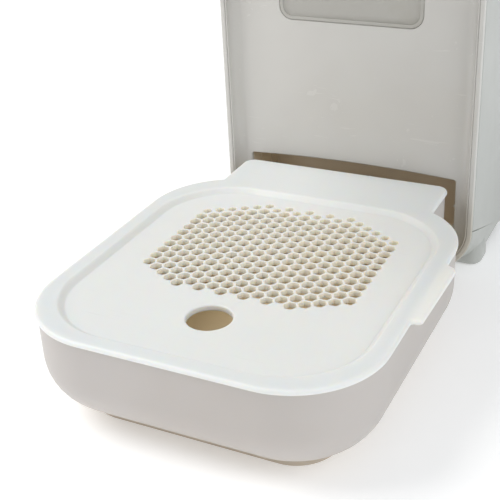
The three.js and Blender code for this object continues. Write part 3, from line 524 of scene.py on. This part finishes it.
def coverOutline():
    # the rounded square, with the finger tab at its right and the neck at its back
    half, corner = tray["half"], tray["corner"]
    tab = tray["tab"]
    middleY = tray["back"] - corner
    cornerX = half - corner
    meet = math.degrees(math.acos((tray["neckHalf"] - cornerX) / corner))
    front = arc(-cornerX, tray["front"] + corner, corner, 180, 270, 28)
    right = arc(cornerX, tray["front"] + corner, corner, 270, 360, 28)
    tabLine = rounded([(half, tab["front"] - 6), (half, tab["front"]),
                       (half + tab["frontReach"], tab["front"] + 0.8),
                       (half + tab["backReach"], tab["back"] - 1), (half, tab["back"] + 1.5),
                       (half, tab["back"] + 7)], tab["bends"], 8, False)
    backRight = arc(cornerX, middleY, corner, 2, meet, 16)
    neckY = backRight[-1, 1]
    neck = rounded([(tray["neckHalf"], neckY + 1.5), (tray["neckHalf"], 0),
                    (-tray["neckHalf"], 0), (-tray["neckHalf"], neckY + 1.5)],
                   [0, tray["neckCorner"], tray["neckCorner"], 0], 12, False)
    backLeft = arc(-cornerX, middleY, corner, 180 - meet, 180, 16)
    return np.concatenate([front, right, tabLine, backRight, neck, backLeft])


def cellSpots():
    # columns side by side, each next one half a pitch along; the outer ones lose cells and step back
    pitch = tray["cellPitch"]
    spots, sizes = [], []
    for column in range(-9, 10):
        away = abs(column)
        taper = max(0, away - 5)
        start = taper / 2 if taper else ((5 - away) % 2) / 2
        rows = np.arange(14 - taper) + start
        x = np.full(len(rows), column * pitch * math.sqrt(3) / 2)
        spots.append(np.stack([x, tray["front"] + tray["cellFront"] + rows * pitch], 1))
        # the cells along the back edge are smaller
        last = np.arange(len(rows)) == len(rows) - 1
        sizes.append(np.where(last, tray["edgeCell"], 1.0))
    return np.concatenate(spots), np.concatenate(sizes)


def trayCover():
    shell = Shell()
    outer = coverOutline()
    side, back = tray["recess"]
    recess = rectangle(-tray["half"] + side, tray["half"] - side, tray["front"] + side,
                       tray["back"] - back, tray["recessCorner"], 28)
    top, low = tray["top"], tray["band"]
    edge, lowRound = tray["edgeRound"], 0.25
    shell.edge(outer, edgeRows(low, top, edge, lowRound, 5), levelXY)
    # the recess's edge is an S: the inset runs evenly while the height eases down
    t = np.linspace(0, 1, 13)
    floorZ, brim, foot = tray["recessFloor"], tray["brim"], tray["foot"]
    step = np.stack([(brim + foot) * t - brim, top - (top - floorZ) * t * t * (3 - 2 * t)], 1)
    shell.edge(recess, step, levelXY)
    shell.flat(offset(outer, -edge), [offset(recess, brim)], top, levelXY)
    # the cells: rounded hexagons carried down through the plate, all as one array, their walls in the lighter
    # cell finish that paints light
    hexagon = rounded(arc(0, 0, tray["cellRadius"], 0, 300, 6), [tray["cellBend"]] * 6, 3)
    spots, sizes = cellSpots()
    plateLow = tray["plateLow"]
    rows = [(0.3, floorZ), (0.08, floorZ - 0.12), (0.0, floorZ - 0.4), (0.0, plateLow + 0.2),
            (0.2, plateLow)]
    rings = np.stack([levelXY(offset(hexagon, inset), height) for inset, height in rows])
    shift = np.concatenate([spots, np.zeros((len(spots), 1))], 1)
    scale = np.stack([sizes, sizes, np.ones(len(sizes))], 1)
    many = rings[None] * scale[:, None, None] + shift[:, None, None]
    count, length = rings.shape[:2]
    jumps = np.arange(len(spots))[:, None, None] * count * length
    shell.add(many.reshape(-1, 3), (quadsOf(count, length)[None] + jumps).reshape(-1, 4), 1)
    hole, holeRound, holeLow = circle(*tray["fingerHole"], 64), tray["holeRound"], 0.3
    shell.edge(hole, edgeRows(plateLow, floorZ, holeRound, holeLow, 5), levelXY, 1)
    topHoles = [offset(hexagon, rows[0][0]) * size + spot for spot, size in zip(spots, sizes)]
    lowHoles = [offset(hexagon, rows[-1][0]) * size + spot for spot, size in zip(spots, sizes)]
    shell.flat(offset(recess, -foot), [*topHoles, offset(hole, holeRound)], floorZ, levelXY)
    under, bevel = offset(recess, 2.0), 0.4
    shell.flat(offset(under, -bevel), [*lowHoles, offset(hole, holeLow)], plateLow, levelXY)
    shell.edge(under, [(bevel, plateLow), (0.0, plateLow + bevel), (0.0, low)], levelXY)
    shell.flat(offset(outer, -lowRound), [under], low, levelXY)
    rib = tray["rib"]
    ribLow, ribTop, ribIn = low - rib["depth"], low + rib["sunk"], rib["thick"]
    ribRows = [(0, ribLow), (0, ribTop), (ribIn, ribTop), (ribIn, ribLow), (0, ribLow)]
    shell.edge(trayOutline(rib["inset"]), ribRows, levelXY)
    return shell


def bowlRows(inset, floorZ, radius, topZ, steps=14):
    # the wall's inset and height from the floor's edge up, with a quarter circle between
    t = np.linspace(0, math.pi / 2, steps)
    turnRows = np.stack([inset + radius * (1 - np.sin(t)), floorZ + radius * (1 - np.cos(t))], 1)
    return np.concatenate([turnRows, [[inset, topZ]]])


def bowlShell(rows, look=0):
    shell = Shell()
    rings = [levelXY(trayOutline(inset), height) for inset, height in rows]
    shell.grid(rings, True, look)
    shell.flat(trayOutline(rows[0][0]), [], rows[0][1], levelXY, look)
    shell.flat(trayOutline(rows[-1][0]), [], rows[-1][1], levelXY, look)
    return shell


def neckShell(half, low, back, high, corner, lowRound, look=0):
    shell = Shell()
    plan = rectangle(-half, half, tray["back"] - 34, back, [8, 8, corner, corner], 10)
    shell.slab(plan, [], low, high, levelXY, 0.2, lowRound, steps=8, look=look)
    return shell


def makeTrayBody():
    top = tray["band"] - tray["gap"]
    inset, wall = tray["inset"], tray["wall"]
    outer = bowlRows(inset, tray["floor"], tray["bowl"], top - 0.5)
    outer = np.concatenate([outer, [[inset + 0.15, top - 0.12], [inset + 0.5, top]]])
    # the hollow takes the tan inside finish, which is painted shade
    looks = ["tray", "inside"]
    whole = solidOf("tray_body_white", bowlShell(outer), looks)
    neckHalf = tray["neckHalf"] - inset
    neck = solidOf("neck", neckShell(neckHalf, tray["neckLow"], -inset, top, 6.5, 6.0), looks)
    combine(whole, neck, "UNION")
    inner = bowlRows(inset + wall, tray["floor"] + wall, tray["bowl"] - wall, top + 4)
    hollow = solidOf("hollow", bowlShell(inner, 1), looks)
    neckHollow = solidOf("neck_hollow", neckShell(neckHalf - wall, tray["neckLow"] + wall,
                                                  -inset - wall, top + 5, 4.5, 4.0, 1), looks)
    combine(hollow, neckHollow, "UNION")
    combine(whole, hollow, "DIFFERENCE")
    ring, ringShell = tray["ring"], Shell()
    section = rounded([(0, 0), (ring["width"], 0), (ring["width"], ring["high"]), (0, ring["high"])],
                      ring["bends"], 4)
    section = np.concatenate([section, section[:1]])
    ringShell.grid([levelXY(trayOutline(ring["inset"] + inward), z) for inward, z in section])
    combine(whole, solidOf("ring", ringShell, looks), "UNION")
    weld(whole.data)
    settle(whole, "tray", "white_plastic", "tray_body")


makeTrayBody()
piece("tray_cover_white", trayCover(), ["cover", "cells"], "cover", "white_plastic", "tray_cover")
print("stage: tray")

# ---- column front ----

# the guard is half width, low, high and corner
column = {
    "half": 80.0, "lip": 3.0, "lipWall": 1.8, "gap": 0.3, "corner": 30.0, "low": 1.0,
    "top": 224.7, "panelY": 7.5, "panelBack": 9.7, "cove": 7.0, "slotHalf": 66.6, "slotLow": 11.5,
    "slotTop": 60.0, "slotArch": 2.0, "slotBend": 12.0, "slotCorner": 1.6, "slotRound": 0.9,
    "seam": 0.06, "behind": 10.0, "nibs": (43.0, 30.0), "guard": (44.0, 148.0, 212.0, 8.0),
}


def uPath(half, low, corner, top, count=22):
    # down the left side, round both lower corners and up the right side
    return rounded([(-half, top), (-half, low), (half, low), (half, top)], [0, corner, corner, 0],
                   count, False)


def slotLoop(grow=0.0):
    half, low, top = column["slotHalf"] + grow, column["slotLow"] - grow, column["slotTop"] + grow
    t = np.linspace(1, -1, 25)[1:-1]
    arch = np.stack([(half - 3 - grow) * t, top + column["slotArch"] * (1 - t ** 2)], 1)
    lowRound, small = column["slotBend"] + grow, column["slotCorner"] + grow
    return np.concatenate([
        arc(-half + lowRound, low + lowRound, lowRound, 180, 270, 12),
        arc(half - lowRound, low + lowRound, lowRound, 270, 360, 12),
        arc(half - small, top - small, small, 0, 88, 8), arch,
        arc(-half + small, top - small, small, 92, 180, 8)])


def frontBezel():
    shell = Shell()
    half, low, corner = column["half"] - column["gap"], column["low"], column["corner"]
    lip, wall, back = column["lip"], column["lipWall"], column["panelBack"]
    section = rounded([(0, 0), (lip, 0), (lip, back), (wall, back), (wall, wall), (0, wall)],
                      [0.9, 0.7, 0.2, 0.2, 0.1, 0.3], 6)
    rows = [levelXZ(uPath(half - inset, low + inset, corner - inset, column["top"]), y)
            for inset, y in np.concatenate([section, section[:1]])]
    shell.grid(rows, False)
    for side in (-1, 1):
        ends = np.stack([side * (half - section[:, 0]), section[:, 1]], 1)
        shell.flat(ends, [], column["top"], levelXY)
    return shell


def frontPanel():
    shell = Shell()
    reach = column["lip"] + column["seam"]
    half, low = column["half"] - column["gap"] - reach, column["low"] + reach
    corner, top = column["corner"] - reach, column["top"]
    cove, flatY, backY = column["cove"], column["panelY"], column["panelBack"]
    t = np.linspace(0, math.pi / 2, 14)
    rows = np.concatenate([[[0.5, backY], [0.0, backY - 0.5], [0.0, 0.8], [0.2, 0.5]],
                           np.stack([0.8 + cove * (1 - np.cos(t)), flatY - cove * (1 - np.sin(t))], 1)])
    paths = [uPath(half - inset, low + inset, corner - inset, top) for inset in rows[:, 0]]
    shell.grid([levelXZ(path, y) for path, y in zip(paths, rows[:, 1])], False)
    ends = np.stack([rows[:, 0] - half, rows[:, 1]], 1)
    shell.flat(np.concatenate([ends, (ends * (-1, 1))[::-1]]), [], top, levelXY)
    guardHalf, guardLow, guardHigh, guardCorner = column["guard"]
    opening = rectangle(-guardHalf, guardHalf, guardLow, guardHigh, guardCorner, 10)
    shell.edge(opening, edgeRows(flatY, backY, 0.2, 0.5, 5), levelXZ, 1)
    shell.flat(paths[-1], [offset(opening, 0.5)], flatY, levelXZ)
    shell.flat(paths[0], [offset(opening, 0.2)], backY, levelXZ)
    return shell


def slotCutter():
    # the slot carried through the panel, wider in front by a quarter circle
    shell = Shell()
    slot, flatY, size = slotLoop(), column["panelY"], column["slotRound"]
    t = np.linspace(0, math.pi / 2, 7)
    curve = np.stack([size * (np.sin(t) - 1), flatY + size * (1 - np.cos(t))], 1)
    shell.edge(slot, np.concatenate([[[-size, -3.0]], curve, [[0, 12.0]]]), levelXZ)
    shell.flat(offset(slot, size), [], -3.0, levelXZ)
    shell.flat(slot, [], 12.0, levelXZ)
    return shell


def slotNibs():
    # two moulding nibs on the right edge of the slot
    shell = Shell()
    t = np.linspace(0, math.pi, 9)
    profile = np.stack([np.sin(t) * 1.0, 8.75 - np.cos(t) * 0.85], 1)
    for nibZ in column["nibs"]:
        shell.turned(profile, column["slotHalf"] + 0.1, nibZ, 12, levelXZ)
    return shell


# the port is x, z and radius; a boss is a profile of radius and height
dock = {"back": 45.0, "wall": 2.2, "port": (0.0, 35.0, 2.8), "bossesX": (-48.6, 48.6),
        "bossesY": (17.7, 39.0),
        "boss": [(0, 7.3), (4.2, 7.3), (4.5, 7.6), (4.5, 10.2), (0, 10.2)]}


def trayDock():
    shell = Shell()
    front, back, wall = column["behind"], dock["back"], dock["wall"]
    port, slot, outline = circle(*dock["port"], 24), slotLoop(), slotLoop(dock["wall"])
    ribs = [(0, front), (0, 15), (0.6, 15.5), (0.6, 21), (0, 21.5), (0, 30), (0.5, 30.4), (0.5, 36),
            (0, 36.4), (0, back - 3)]
    insets = [(-inset, y) for inset, y in ribs] + [(0.4, back - 0.5), (1.4, back)]
    shell.edge(slot, insets, levelXZ)
    shell.flat(offset(slot, -1.4), [port], back, levelXZ)
    shell.edge(port, [(0, back), (0, back + wall)], levelXZ)
    shell.edge(outline, [(0, front), (0, back + wall - 0.4), (0.4, back + wall)], levelXZ)
    shell.flat(outline, [slot], front, levelXZ)
    shell.flat(offset(outline, -0.4), [port], back + wall, levelXZ)
    for x in dock["bossesX"]:
        for y in dock["bossesY"]:
            shell.turned(dock["boss"], x, y, 24)
    return shell


def splashGuard():
    # a clear pane, flush with the panel, with a soft dished middle
    shell = Shell()
    half, low, high, corner = column["guard"]
    outline = rectangle(-half + 0.1, half - 0.1, low + 0.1, high - 0.1, corner - 0.1, 12)
    t = np.linspace(0, math.pi / 2, 7)
    front, back = column["panelY"] + 0.1, column["panelBack"]
    rows = [(0.4, back), (0.0, back - 0.4), (0.0, front + 0.5), (0.5, front), (2.2, front)]
    rows += [(2.2 + 3.2 * (1 - math.cos(a)), front + 1.4 * math.sin(a)) for a in t]
    shell.edge(outline, rows, levelXZ)
    shell.flat(offset(outline, -rows[-1][0]), [], rows[-1][1], levelXZ)
    shell.flat(offset(outline, -0.4), [], back, levelXZ)
    return shell


def guardPocket():
    shell = Shell()
    half, low, high, corner = column["guard"]
    opening = rectangle(-half - 0.3, half + 0.3, low - 0.3, high + 0.3, corner + 0.3, 12)
    outline = rectangle(-half - 3, half + 3, low - 3, high + 3, corner + 3, 12)
    front = column["behind"]
    shell.edge(outline, [(0, front), (0, front + 6.5), (0.5, front + 7)], levelXZ)
    shell.edge(opening, [(0, front), (0, front + 2.5), (0.7, front + 4.3), (2.5, front + 5)], levelXZ)
    shell.flat(outline, [opening], front, levelXZ)
    shell.flat(offset(opening, -2.5), [], front + 5, levelXZ)
    shell.flat(offset(outline, -0.5), [], front + 7, levelXZ)
    return shell


piece("bezel_lips", frontBezel(), ["panel"], "machine", "shell_plastic", "front_bezel")
panel = solidOf("panel_dished", frontPanel(), ["panel"])
combine(panel, solidOf("slot_cutter", slotCutter(), ["panel"]), "DIFFERENCE")
combine(panel, solidOf("slot_nibs", slotNibs(), ["panel"]), "UNION")
settle(panel, "machine", "panel_plastic", "front_panel")
piece("dock_sleeve", trayDock(), ["dock"], "machine", "dock_plastic", "tray_dock")
piece("guard_pane", splashGuard(), ["guard"], "machine", "clear_plastic", "splash_guard")
piece("guard_recess", guardPocket(), ["panel"], "machine", "grey_plastic", "guard_pocket")
print("stage: column front")

# ---- shells, base and feet ----

body = {
    "front": 2.1, "rear": 98.7, "deck": 342.0, "nose": -125.0, "headLow": 225.0, "lowRound": 18.0,
    "highRound": 30.0, "seamTop": 31.0, "seamEnd": 76.1, "footTop": 4.0, "wall": 1.8,
    "inner": 77.9, "tankBack": 165.0,
}


def sideLoop():
    return rounded([(body["front"], body["seamTop"] + 0.3), (body["seamEnd"], body["footTop"] + 0.3),
                    (body["rear"], body["footTop"] + 0.3), (body["rear"], body["deck"]),
                    (body["nose"], body["deck"]), (body["nose"], body["headLow"]),
                    (body["front"], body["headLow"])],
                   [1.2, 24, 1.5, 2.0, body["highRound"], body["lowRound"], 1.0], 20)


def sideShell(side):
    shell = Shell()
    high = column["half"]
    shell.slab(sideLoop(), [], high - body["wall"], high, levelYZ, 0.8, 0.2, steps=5)
    if side < 0:
        shell.points = [points * (-1, 1, 1) for points in shell.points]
    return shell


for name, side in (("left", -1), ("right", 1)):
    piece(f"{name}_shell", sideShell(side), ["shell"], "machine", "shell_plastic",
          f"{name}_side_shell")


def basePan():
    # a thin U section carried back from the bezel: its low corners tighten and its floor rises,
    # while its two rims come down with the seam
    shell = Shell()
    start, end, half, thick = body["front"], body["seamEnd"], column["half"], 2.2
    rings, steps, bevel = [], 40, 0.45
    for step in range(steps + 1):
        t = step / steps
        y = start + (end - start) * t
        rim = body["seamTop"] + (body["footTop"] + 1.2 - body["seamTop"]) * t
        ease = min(1.0, (y - start) / 34)
        soft = ease * ease * (3 - 2 * ease)
        low = 1.3 + 2.7 * soft
        corner = min(30.0 * (1 - soft) + 3.0 * soft, rim - low - 0.4)
        inset = bevel if step == 0 else 0.0
        outer = uPath(half - inset, low + inset, max(corner - inset, 0.5), rim, 14)
        inner = uPath(half - thick, low + thick, max(corner - thick, 0.3), rim, 14)
        rings.append(levelXZ(np.concatenate([outer, inner[::-1]]), y))
        if step == 0:
            full = np.concatenate([uPath(half, low, corner, rim, 14), inner[::-1]])
            rings.append(levelXZ(full, start + bevel))
    shell.grid(rings)
    for ring, y in ((rings[0], start), (rings[-1], end)):
        shell.flat(ring[:, [0, 2]], [], y, levelXZ)
    plate = rectangle(-body["inner"], body["inner"], 45, 98.4, 1.0, 3)
    shell.slab(plate, [], 4.0, 7.0, levelXY, 0.3, 0.3)
    return shell


def plinth():
    shell = Shell()
    plan = rectangle(-78, 78, 99.0, body["tankBack"], [2, 2, 24, 24], 14)
    well = circle(0, 132.3, 16.9, 48)
    shell.edge(plan, edgeRows(4.0, 32.0, 1.4, 1.0, 5), levelXY)
    shell.edge(well, [(0.8, 32.0), (0.25, 31.75), (0, 31.2), (0, 17.6)], levelXY, 1)
    shell.flat(offset(plan, -1.4), [offset(well, 0.8)], 32.0, levelXY)
    shell.flat(well, [], 17.6, levelXY)
    shell.flat(offset(plan, -1.0), [], 4.0, levelXY)
    return shell


piece("base_pan_shell", basePan(), ["shell"], "machine", "shell_plastic", "base_pan")
plinthPiece = solidOf("base_plinth", plinth(), ["shell"])
socket = Shell()
socket.slab(rectangle(-54.3, -27.7, 8.7, 26.3, 1.2, 4), [], 148.0, 168.0, levelXZ, 0.2, 0.2)
combine(plinthPiece, solidOf("socket", socket, ["shell"]), "DIFFERENCE")
settle(plinthPiece, "machine", "shell_plastic", "base_pan")


def frontFoot(side):
    # a soft rounded-square pad that swells past the side and fades into it
    shell = Shell()
    plan = rectangle(59.2, 81.7, 16.5, 39.0, 7.0, 12)
    t = np.linspace(0, math.pi / 2, 7)
    rows = [(3.2 * (1 - math.sin(a)), 3.2 * (1 - math.cos(a))) for a in t]
    rows += [(0.0, 5.0), (0.12, 7.0), (0.5, 9.0), (1.1, 11.0), (1.9, 13.2), (3.2, 14.6)]
    shell.edge(plan, rows, levelXY)
    shell.flat(offset(plan, -3.2), [], 0.0, levelXY)
    shell.flat(offset(plan, -3.2), [], 14.6, levelXY)
    shell.points = [points * (side, 1, 1) for points in shell.points]
    return shell


def rearFoot(side):
    shell = Shell()
    left = 49.5 if side > 0 else -72.0
    shell.slab(rectangle(left, left + 22.5, 123.0, 145.5, 7.0, 12), [], 0.0, 3.7, levelXY, 0.3, 1.6,
               steps=6)
    return shell


for name, side in (("left", -1), ("right", 1)):
    piece(f"front_pad_{name}", frontFoot(side), ["shell"], "machine", "foot_plastic",
          f"foot_front_{name}")
    piece(f"rear_pad_{name}", rearFoot(side), ["foot"], "machine", "foot_plastic",
          f"foot_rear_{name}")
print("stage: shells and base")

# ---- head ----

# the window is half width, low, high and corner
head = {"window": (42.0, 282.0, 309.0, 4.7), "keyZ": 268.0, "keyPitch": 22.0, "keyRadius": 8.0,
        "dropY": -62.0, "hopperY": -35.0, "thick": 2.4}


def headFascia():
    shell = Shell()
    nose, thick, half = body["nose"], head["thick"], body["inner"]
    lowY, lowZ = nose + body["lowRound"], body["headLow"] + body["lowRound"]
    highY, highZ = nose + body["highRound"], body["deck"] - body["highRound"]
    lower = arc(lowY, lowZ, body["lowRound"], 270, 180, 16)
    upper = arc(highY, highZ, body["highRound"], 180, 90, 22)
    lowerIn = arc(lowY, lowZ, body["lowRound"] - thick, 270, 180, 16)
    upperIn = arc(highY, highZ, body["highRound"] - thick, 180, 90, 22)
    for run in (lower, upper, lowerIn, upperIn, np.stack([lower[0], lowerIn[0]]),
                np.stack([upper[-1], upperIn[-1]])):
        shell.grid([levelYZ(run, -half), levelYZ(run, half)], False)
    section = np.concatenate([lower, upper, upperIn[::-1], lowerIn[::-1]])
    for side in (-1, 1):
        shell.flat(section, [], side * half, levelYZ)
    windowHalf, windowLow, windowHigh, corner = head["window"]
    holes = [rectangle(-windowHalf - 0.3, windowHalf + 0.3, windowLow - 0.3, windowHigh + 0.3,
                       corner + 0.3, 8)]
    holes += [circle((index - 1.5) * head["keyPitch"], head["keyZ"], head["keyRadius"] + 0.3, 40)
              for index in range(4)]
    face = rectangle(-half, half, lowZ, highZ, 0)
    for hole in holes:
        shell.edge(hole, edgeRows(nose, nose + thick, 0.1, 0.5, 4), levelXZ, 1)
    shell.flat(face, [offset(hole, 0.5) for hole in holes], nose, levelXZ)
    shell.flat(face, [offset(hole, 0.1) for hole in holes], nose + thick, levelXZ)
    return shell


def key(x):
    # a dished round cap with a soft edge, and a flange behind the fascia
    shell = Shell()
    front, radius = body["nose"] - 1.6, head["keyRadius"]
    t = np.linspace(0, math.pi / 2, 6)
    cap = [(0, front + 0.7), (3.0, front + 0.62), (5.4, front + 0.25), (radius - 1.2, front)]
    cap += [(radius - 1.2 + 1.2 * math.sin(a), front + 1.2 * (1 - math.cos(a))) for a in t]
    flange = body["nose"] + head["thick"] + 0.4
    cap += [(radius, flange), (radius + 1.4, flange), (radius + 1.6, flange + 0.2),
            (radius + 1.6, flange + 1.5), (0, flange + 1.5)]
    shell.turned(cap, x, head["keyZ"], 48, levelXZ)
    return shell


def displayWindow():
    shell = Shell()
    half, low, high, corner = head["window"]
    shell.slab(rectangle(-half, half, low, high, corner, 10), [], body["nose"], body["nose"] + 2,
               levelXZ, 0.2, 0.5)
    return shell


piece("head_front", headFascia(), ["panel"], "machine", "panel_plastic", "head_fascia")
piece("head_window", displayWindow(), ["black"], "machine", "black_gloss", "display_window")
for index, keyName in enumerate(("power", "water", "temperature", "start")):
    piece(f"{keyName}_cap", key((index - 1.5) * head["keyPitch"]), ["cover"], f"{keyName}_key",
          "white_plastic", f"{keyName}_button")


def headPlate(start, end, corner, count, *slabSettings):
    shell = Shell()
    shell.slab(rectangle(-body["inner"], body["inner"], start, end, corner, count), *slabSettings)
    return shell


piece("head_floor", headPlate(-106.7, 9.7, 0.6, 3, [circle(0, head["dropY"], 30, 72)],
                              body["headLow"], body["headLow"] + 2.4, levelXY, 0.3, 0.4, 0.8),
      ["panel"], "machine", "panel_plastic", "head_underside")
piece("deck_plate", headPlate(-94.7, 96.3, 0.5, 3, [circle(0, head["hopperY"], 52.5, 96)],
                              body["deck"] - 2.4, body["deck"], levelXY, 0.3, 0.3, 0.8),
      ["shell"], "machine", "shell_plastic", "top_deck")
piece("rear_wall", headPlate(32.3, body["deck"], 0.8, 4, [], 96.6, body["rear"], levelXZ, 0.5, 0.3),
      ["shell"], "machine", "shell_plastic", "rear_cover")
print("stage: head")

# ---- powder hopper, lid and funnel ----

hopper = {"radius": 49.0, "wall": 2.2, "low": 278.3, "rimLow": 342.3, "rimHigh": 344.3,
          "rim": 56.0, "hingeY": 25.0, "hingeZ": 346.0, "pin": 1.6, "knuckle": 3.2}


def hopperBowl():
    shell = Shell()
    radius, wall, low = hopper["radius"], hopper["wall"], hopper["low"]
    rimLow, rimHigh, rim = hopper["rimLow"], hopper["rimHigh"], hopper["rim"]
    profile = rounded([(0, low), (radius, low), (radius, rimLow), (rim, rimLow), (rim, rimHigh),
                       (radius - wall, rimHigh), (radius - wall, low + 3), (0, low + 3)],
                      [0, 2.0, 0.6, 0.8, 0.8, 0.8, 4.0, 0], 6, False)
    shell.turned(profile, 0, head["hopperY"], 96)
    hingeY, hingeZ, knuckle = hopper["hingeY"], hopper["hingeZ"], hopper["knuckle"]
    ear = rectangle(head["hopperY"] + 48, hingeY + knuckle, rimLow, hingeZ + knuckle,
                    [0.5, 1.0, 3.1, 3.0], 8)
    for near, far in ((-12.3, -8.3), (8.3, 12.3)):
        shell.slab(ear, [circle(hingeY, hingeZ, hopper["pin"], 16)], near, far, levelYZ, 0.3, 0.3, 0.1)
    return shell


def hopperLid():
    shell = Shell()
    low = hopper["rimHigh"] + 0.3
    high, radius = low + 5.4, hopper["rim"] + 1
    inner = hopper["radius"] - hopper["wall"] - 2
    profile = rounded([(0, low + 2.6), (inner, low + 2.6), (inner, low), (radius, low), (radius, high),
                       (18, high - 0.2), (0, high - 0.9)], [0, 0.5, 0.4, 0.5, 2.4, 6, 0], 8, False)
    shell.turned(profile, 0, head["hopperY"], 96)
    # the strap clears the hopper's rim, then drops round the pin
    hingeY, hingeZ, knuckle = hopper["hingeY"], hopper["hingeZ"], hopper["knuckle"]
    strap = rounded([(hingeY - 9, low), (hingeY - knuckle, low), (hingeY - 2.6, hingeZ - 2.7),
                     (hingeY + knuckle, hingeZ - 2.7), (hingeY + knuckle, hingeZ + knuckle),
                     (hingeY - 9, hingeZ + knuckle)], [0.4, 0.4, 0.4, 2.6, 3.0, 1.0], 8)
    shell.slab(strap, [circle(hingeY, hingeZ, hopper["pin"], 16)], -8.0, 8.0, levelYZ, 0.4, 0.4, 0.1)
    return shell


def funnel():
    shell = Shell()
    low = body["headLow"]
    profile = rounded([(29, 251.5), (29, low - 0.4), (36, low - 0.4), (36, low - 3.5), (26, low - 3.5),
                       (8, low - 13), (7, low - 21), (5, low - 21), (5.5, low - 12), (26.5, low + 5),
                       (26.5, 251.5)], [0.5, 0.3, 1.0, 1.0, 1.2, 3.0, 0.5, 0.5, 3.0, 4.0, 0.5], 6)
    shell.turned(np.concatenate([profile, profile[:1]]), 0, head["dropY"], 80)
    return shell


piece("hopper_bowl", hopperBowl(), ["clear"], "hopper", "clear_plastic", "powder_hopper")
piece("hopper_cap", hopperLid(), ["cover"], "hopper_top", "white_plastic", "hopper_lid")
piece("funnel_clear", funnel(), ["clear"], "funnel", "clear_plastic", "mixing_funnel")
print("stage: powder parts")

# ---- water tank ----

tank = {"half": 77.5, "front": 99.6, "back": 165.0, "low": 32.4, "high": 334.0, "wall": 2.4,
        "axisY": 132.3}


def tankPlan(inset):
    front = max(6 - inset, 1.0)
    return rectangle(-tank["half"] + inset, tank["half"] - inset, tank["front"] + inset,
                     tank["back"] - inset, [front, front, 24 - inset, 24 - inset], 14)


def waterTank():
    shell = Shell()
    low, high, wall = tank["low"], tank["high"], tank["wall"]
    t = np.linspace(0, math.pi / 2, 6)
    outside = [(3.0 * (1 - math.sin(a)), low + 3.0 * (1 - math.cos(a))) for a in t]
    outside += [(0, high - 8), (0, high - 0.6), (0.3, high - 0.15), (0.8, high)]
    inside = [(wall - 0.4, high), (wall, high - 0.5), (wall, low + 6)]
    inside += [(wall + 3.0 * (1 - math.cos(a)), low + 3 + 3.0 * (1 - math.sin(a))) for a in t]
    rows = [levelXY(tankPlan(inset), z) for inset, z in outside + inside]
    shell.grid(rows)
    spigot, bore = circle(0, tank["axisY"], 9, 40), circle(0, tank["axisY"], 6, 40)
    shell.flat(tankPlan(3.0), [spigot], low, levelXY)
    shell.flat(tankPlan(wall + 3.0), [bore], low + 3, levelXY)
    shell.edge(spigot, [(0, low), (0, 24.5), (0.5, 24.0)], levelXY)
    shell.edge(bore, [(0, low + 3), (0, 24.4), (-0.4, 24.0)], levelXY)
    shell.flat(offset(spigot, -0.5), [offset(bore, 0.4)], 24.0, levelXY)
    # level marks: short raised bars up the back wall
    for index in range(9):
        z = 70 + index * 28
        long = 16 if index % 2 == 0 else 9
        bar = rectangle(30 - long / 2, 30 + long / 2, z - 0.5, z + 0.5, 0.45, 4)
        shell.slab(bar, [], tank["back"] - 0.3, tank["back"], levelXZ, 0.1, 0.1, steps=2)
    return shell


def tankLid():
    shell = Shell()
    low = tank["high"] + 0.3
    shell.slab(tankPlan(0.3), [], low, low + 2.7, levelXY, 1.1, 0.3, steps=5)
    grip = rectangle(-22, 22, tank["axisY"] - 5, tank["axisY"] + 5, 4.9, 10)
    shell.slab(grip, [], low + 2, 341.0, levelXY, 1.4, 0.3, steps=5)
    skirt = tankPlan(tank["wall"] + 0.5)
    rows = [(0, low - 4), (0, low + 0.5), (2, low + 0.5), (2, low - 4), (0, low - 4)]
    shell.edge(skirt, rows, levelXY)
    return shell


piece("tank_clear", waterTank(), ["clear"], "tank", "clear_plastic", "water_tank")
piece("tank_cap", tankLid(), ["cover"], "tank_top", "white_plastic", "tank_lid")
print("stage: water tank")

# ---- carried-over nodes ----

carried = {
    "steel": ["dock_screw_1", "dock_screw_2", "dock_screw_3", "dock_screw_4", "hopper_lid_pin",
              "drive_gear", "dosing_motor", "water_heater", "water_jet_ring"],
    "grey": ["tray_switch", "tank_dock", "water_pump", "power_supply", "dosing_housing"],
    "cover": ["agitator", "dosing_wheel", "powder_chute"],
    "silicone": ["switch_plunger", "tank_seal", "valve_plunger", "hose_tank_pump",
                 "hose_pump_heater", "hose_heater_jet"],
    "board": ["control_board"],
    "black": ["power_inlet"],
}
for finish, names in carried.items():
    for name in names:
        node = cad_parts[name]
        if not node.data.materials:
            node.data.materials.append(finishes[finish])
        for spot in node.material_slots:
            spot.link = "OBJECT"
            spot.material = finishes[finish]
print("stage: carried-over nodes")

bpy.context.view_layer.update()
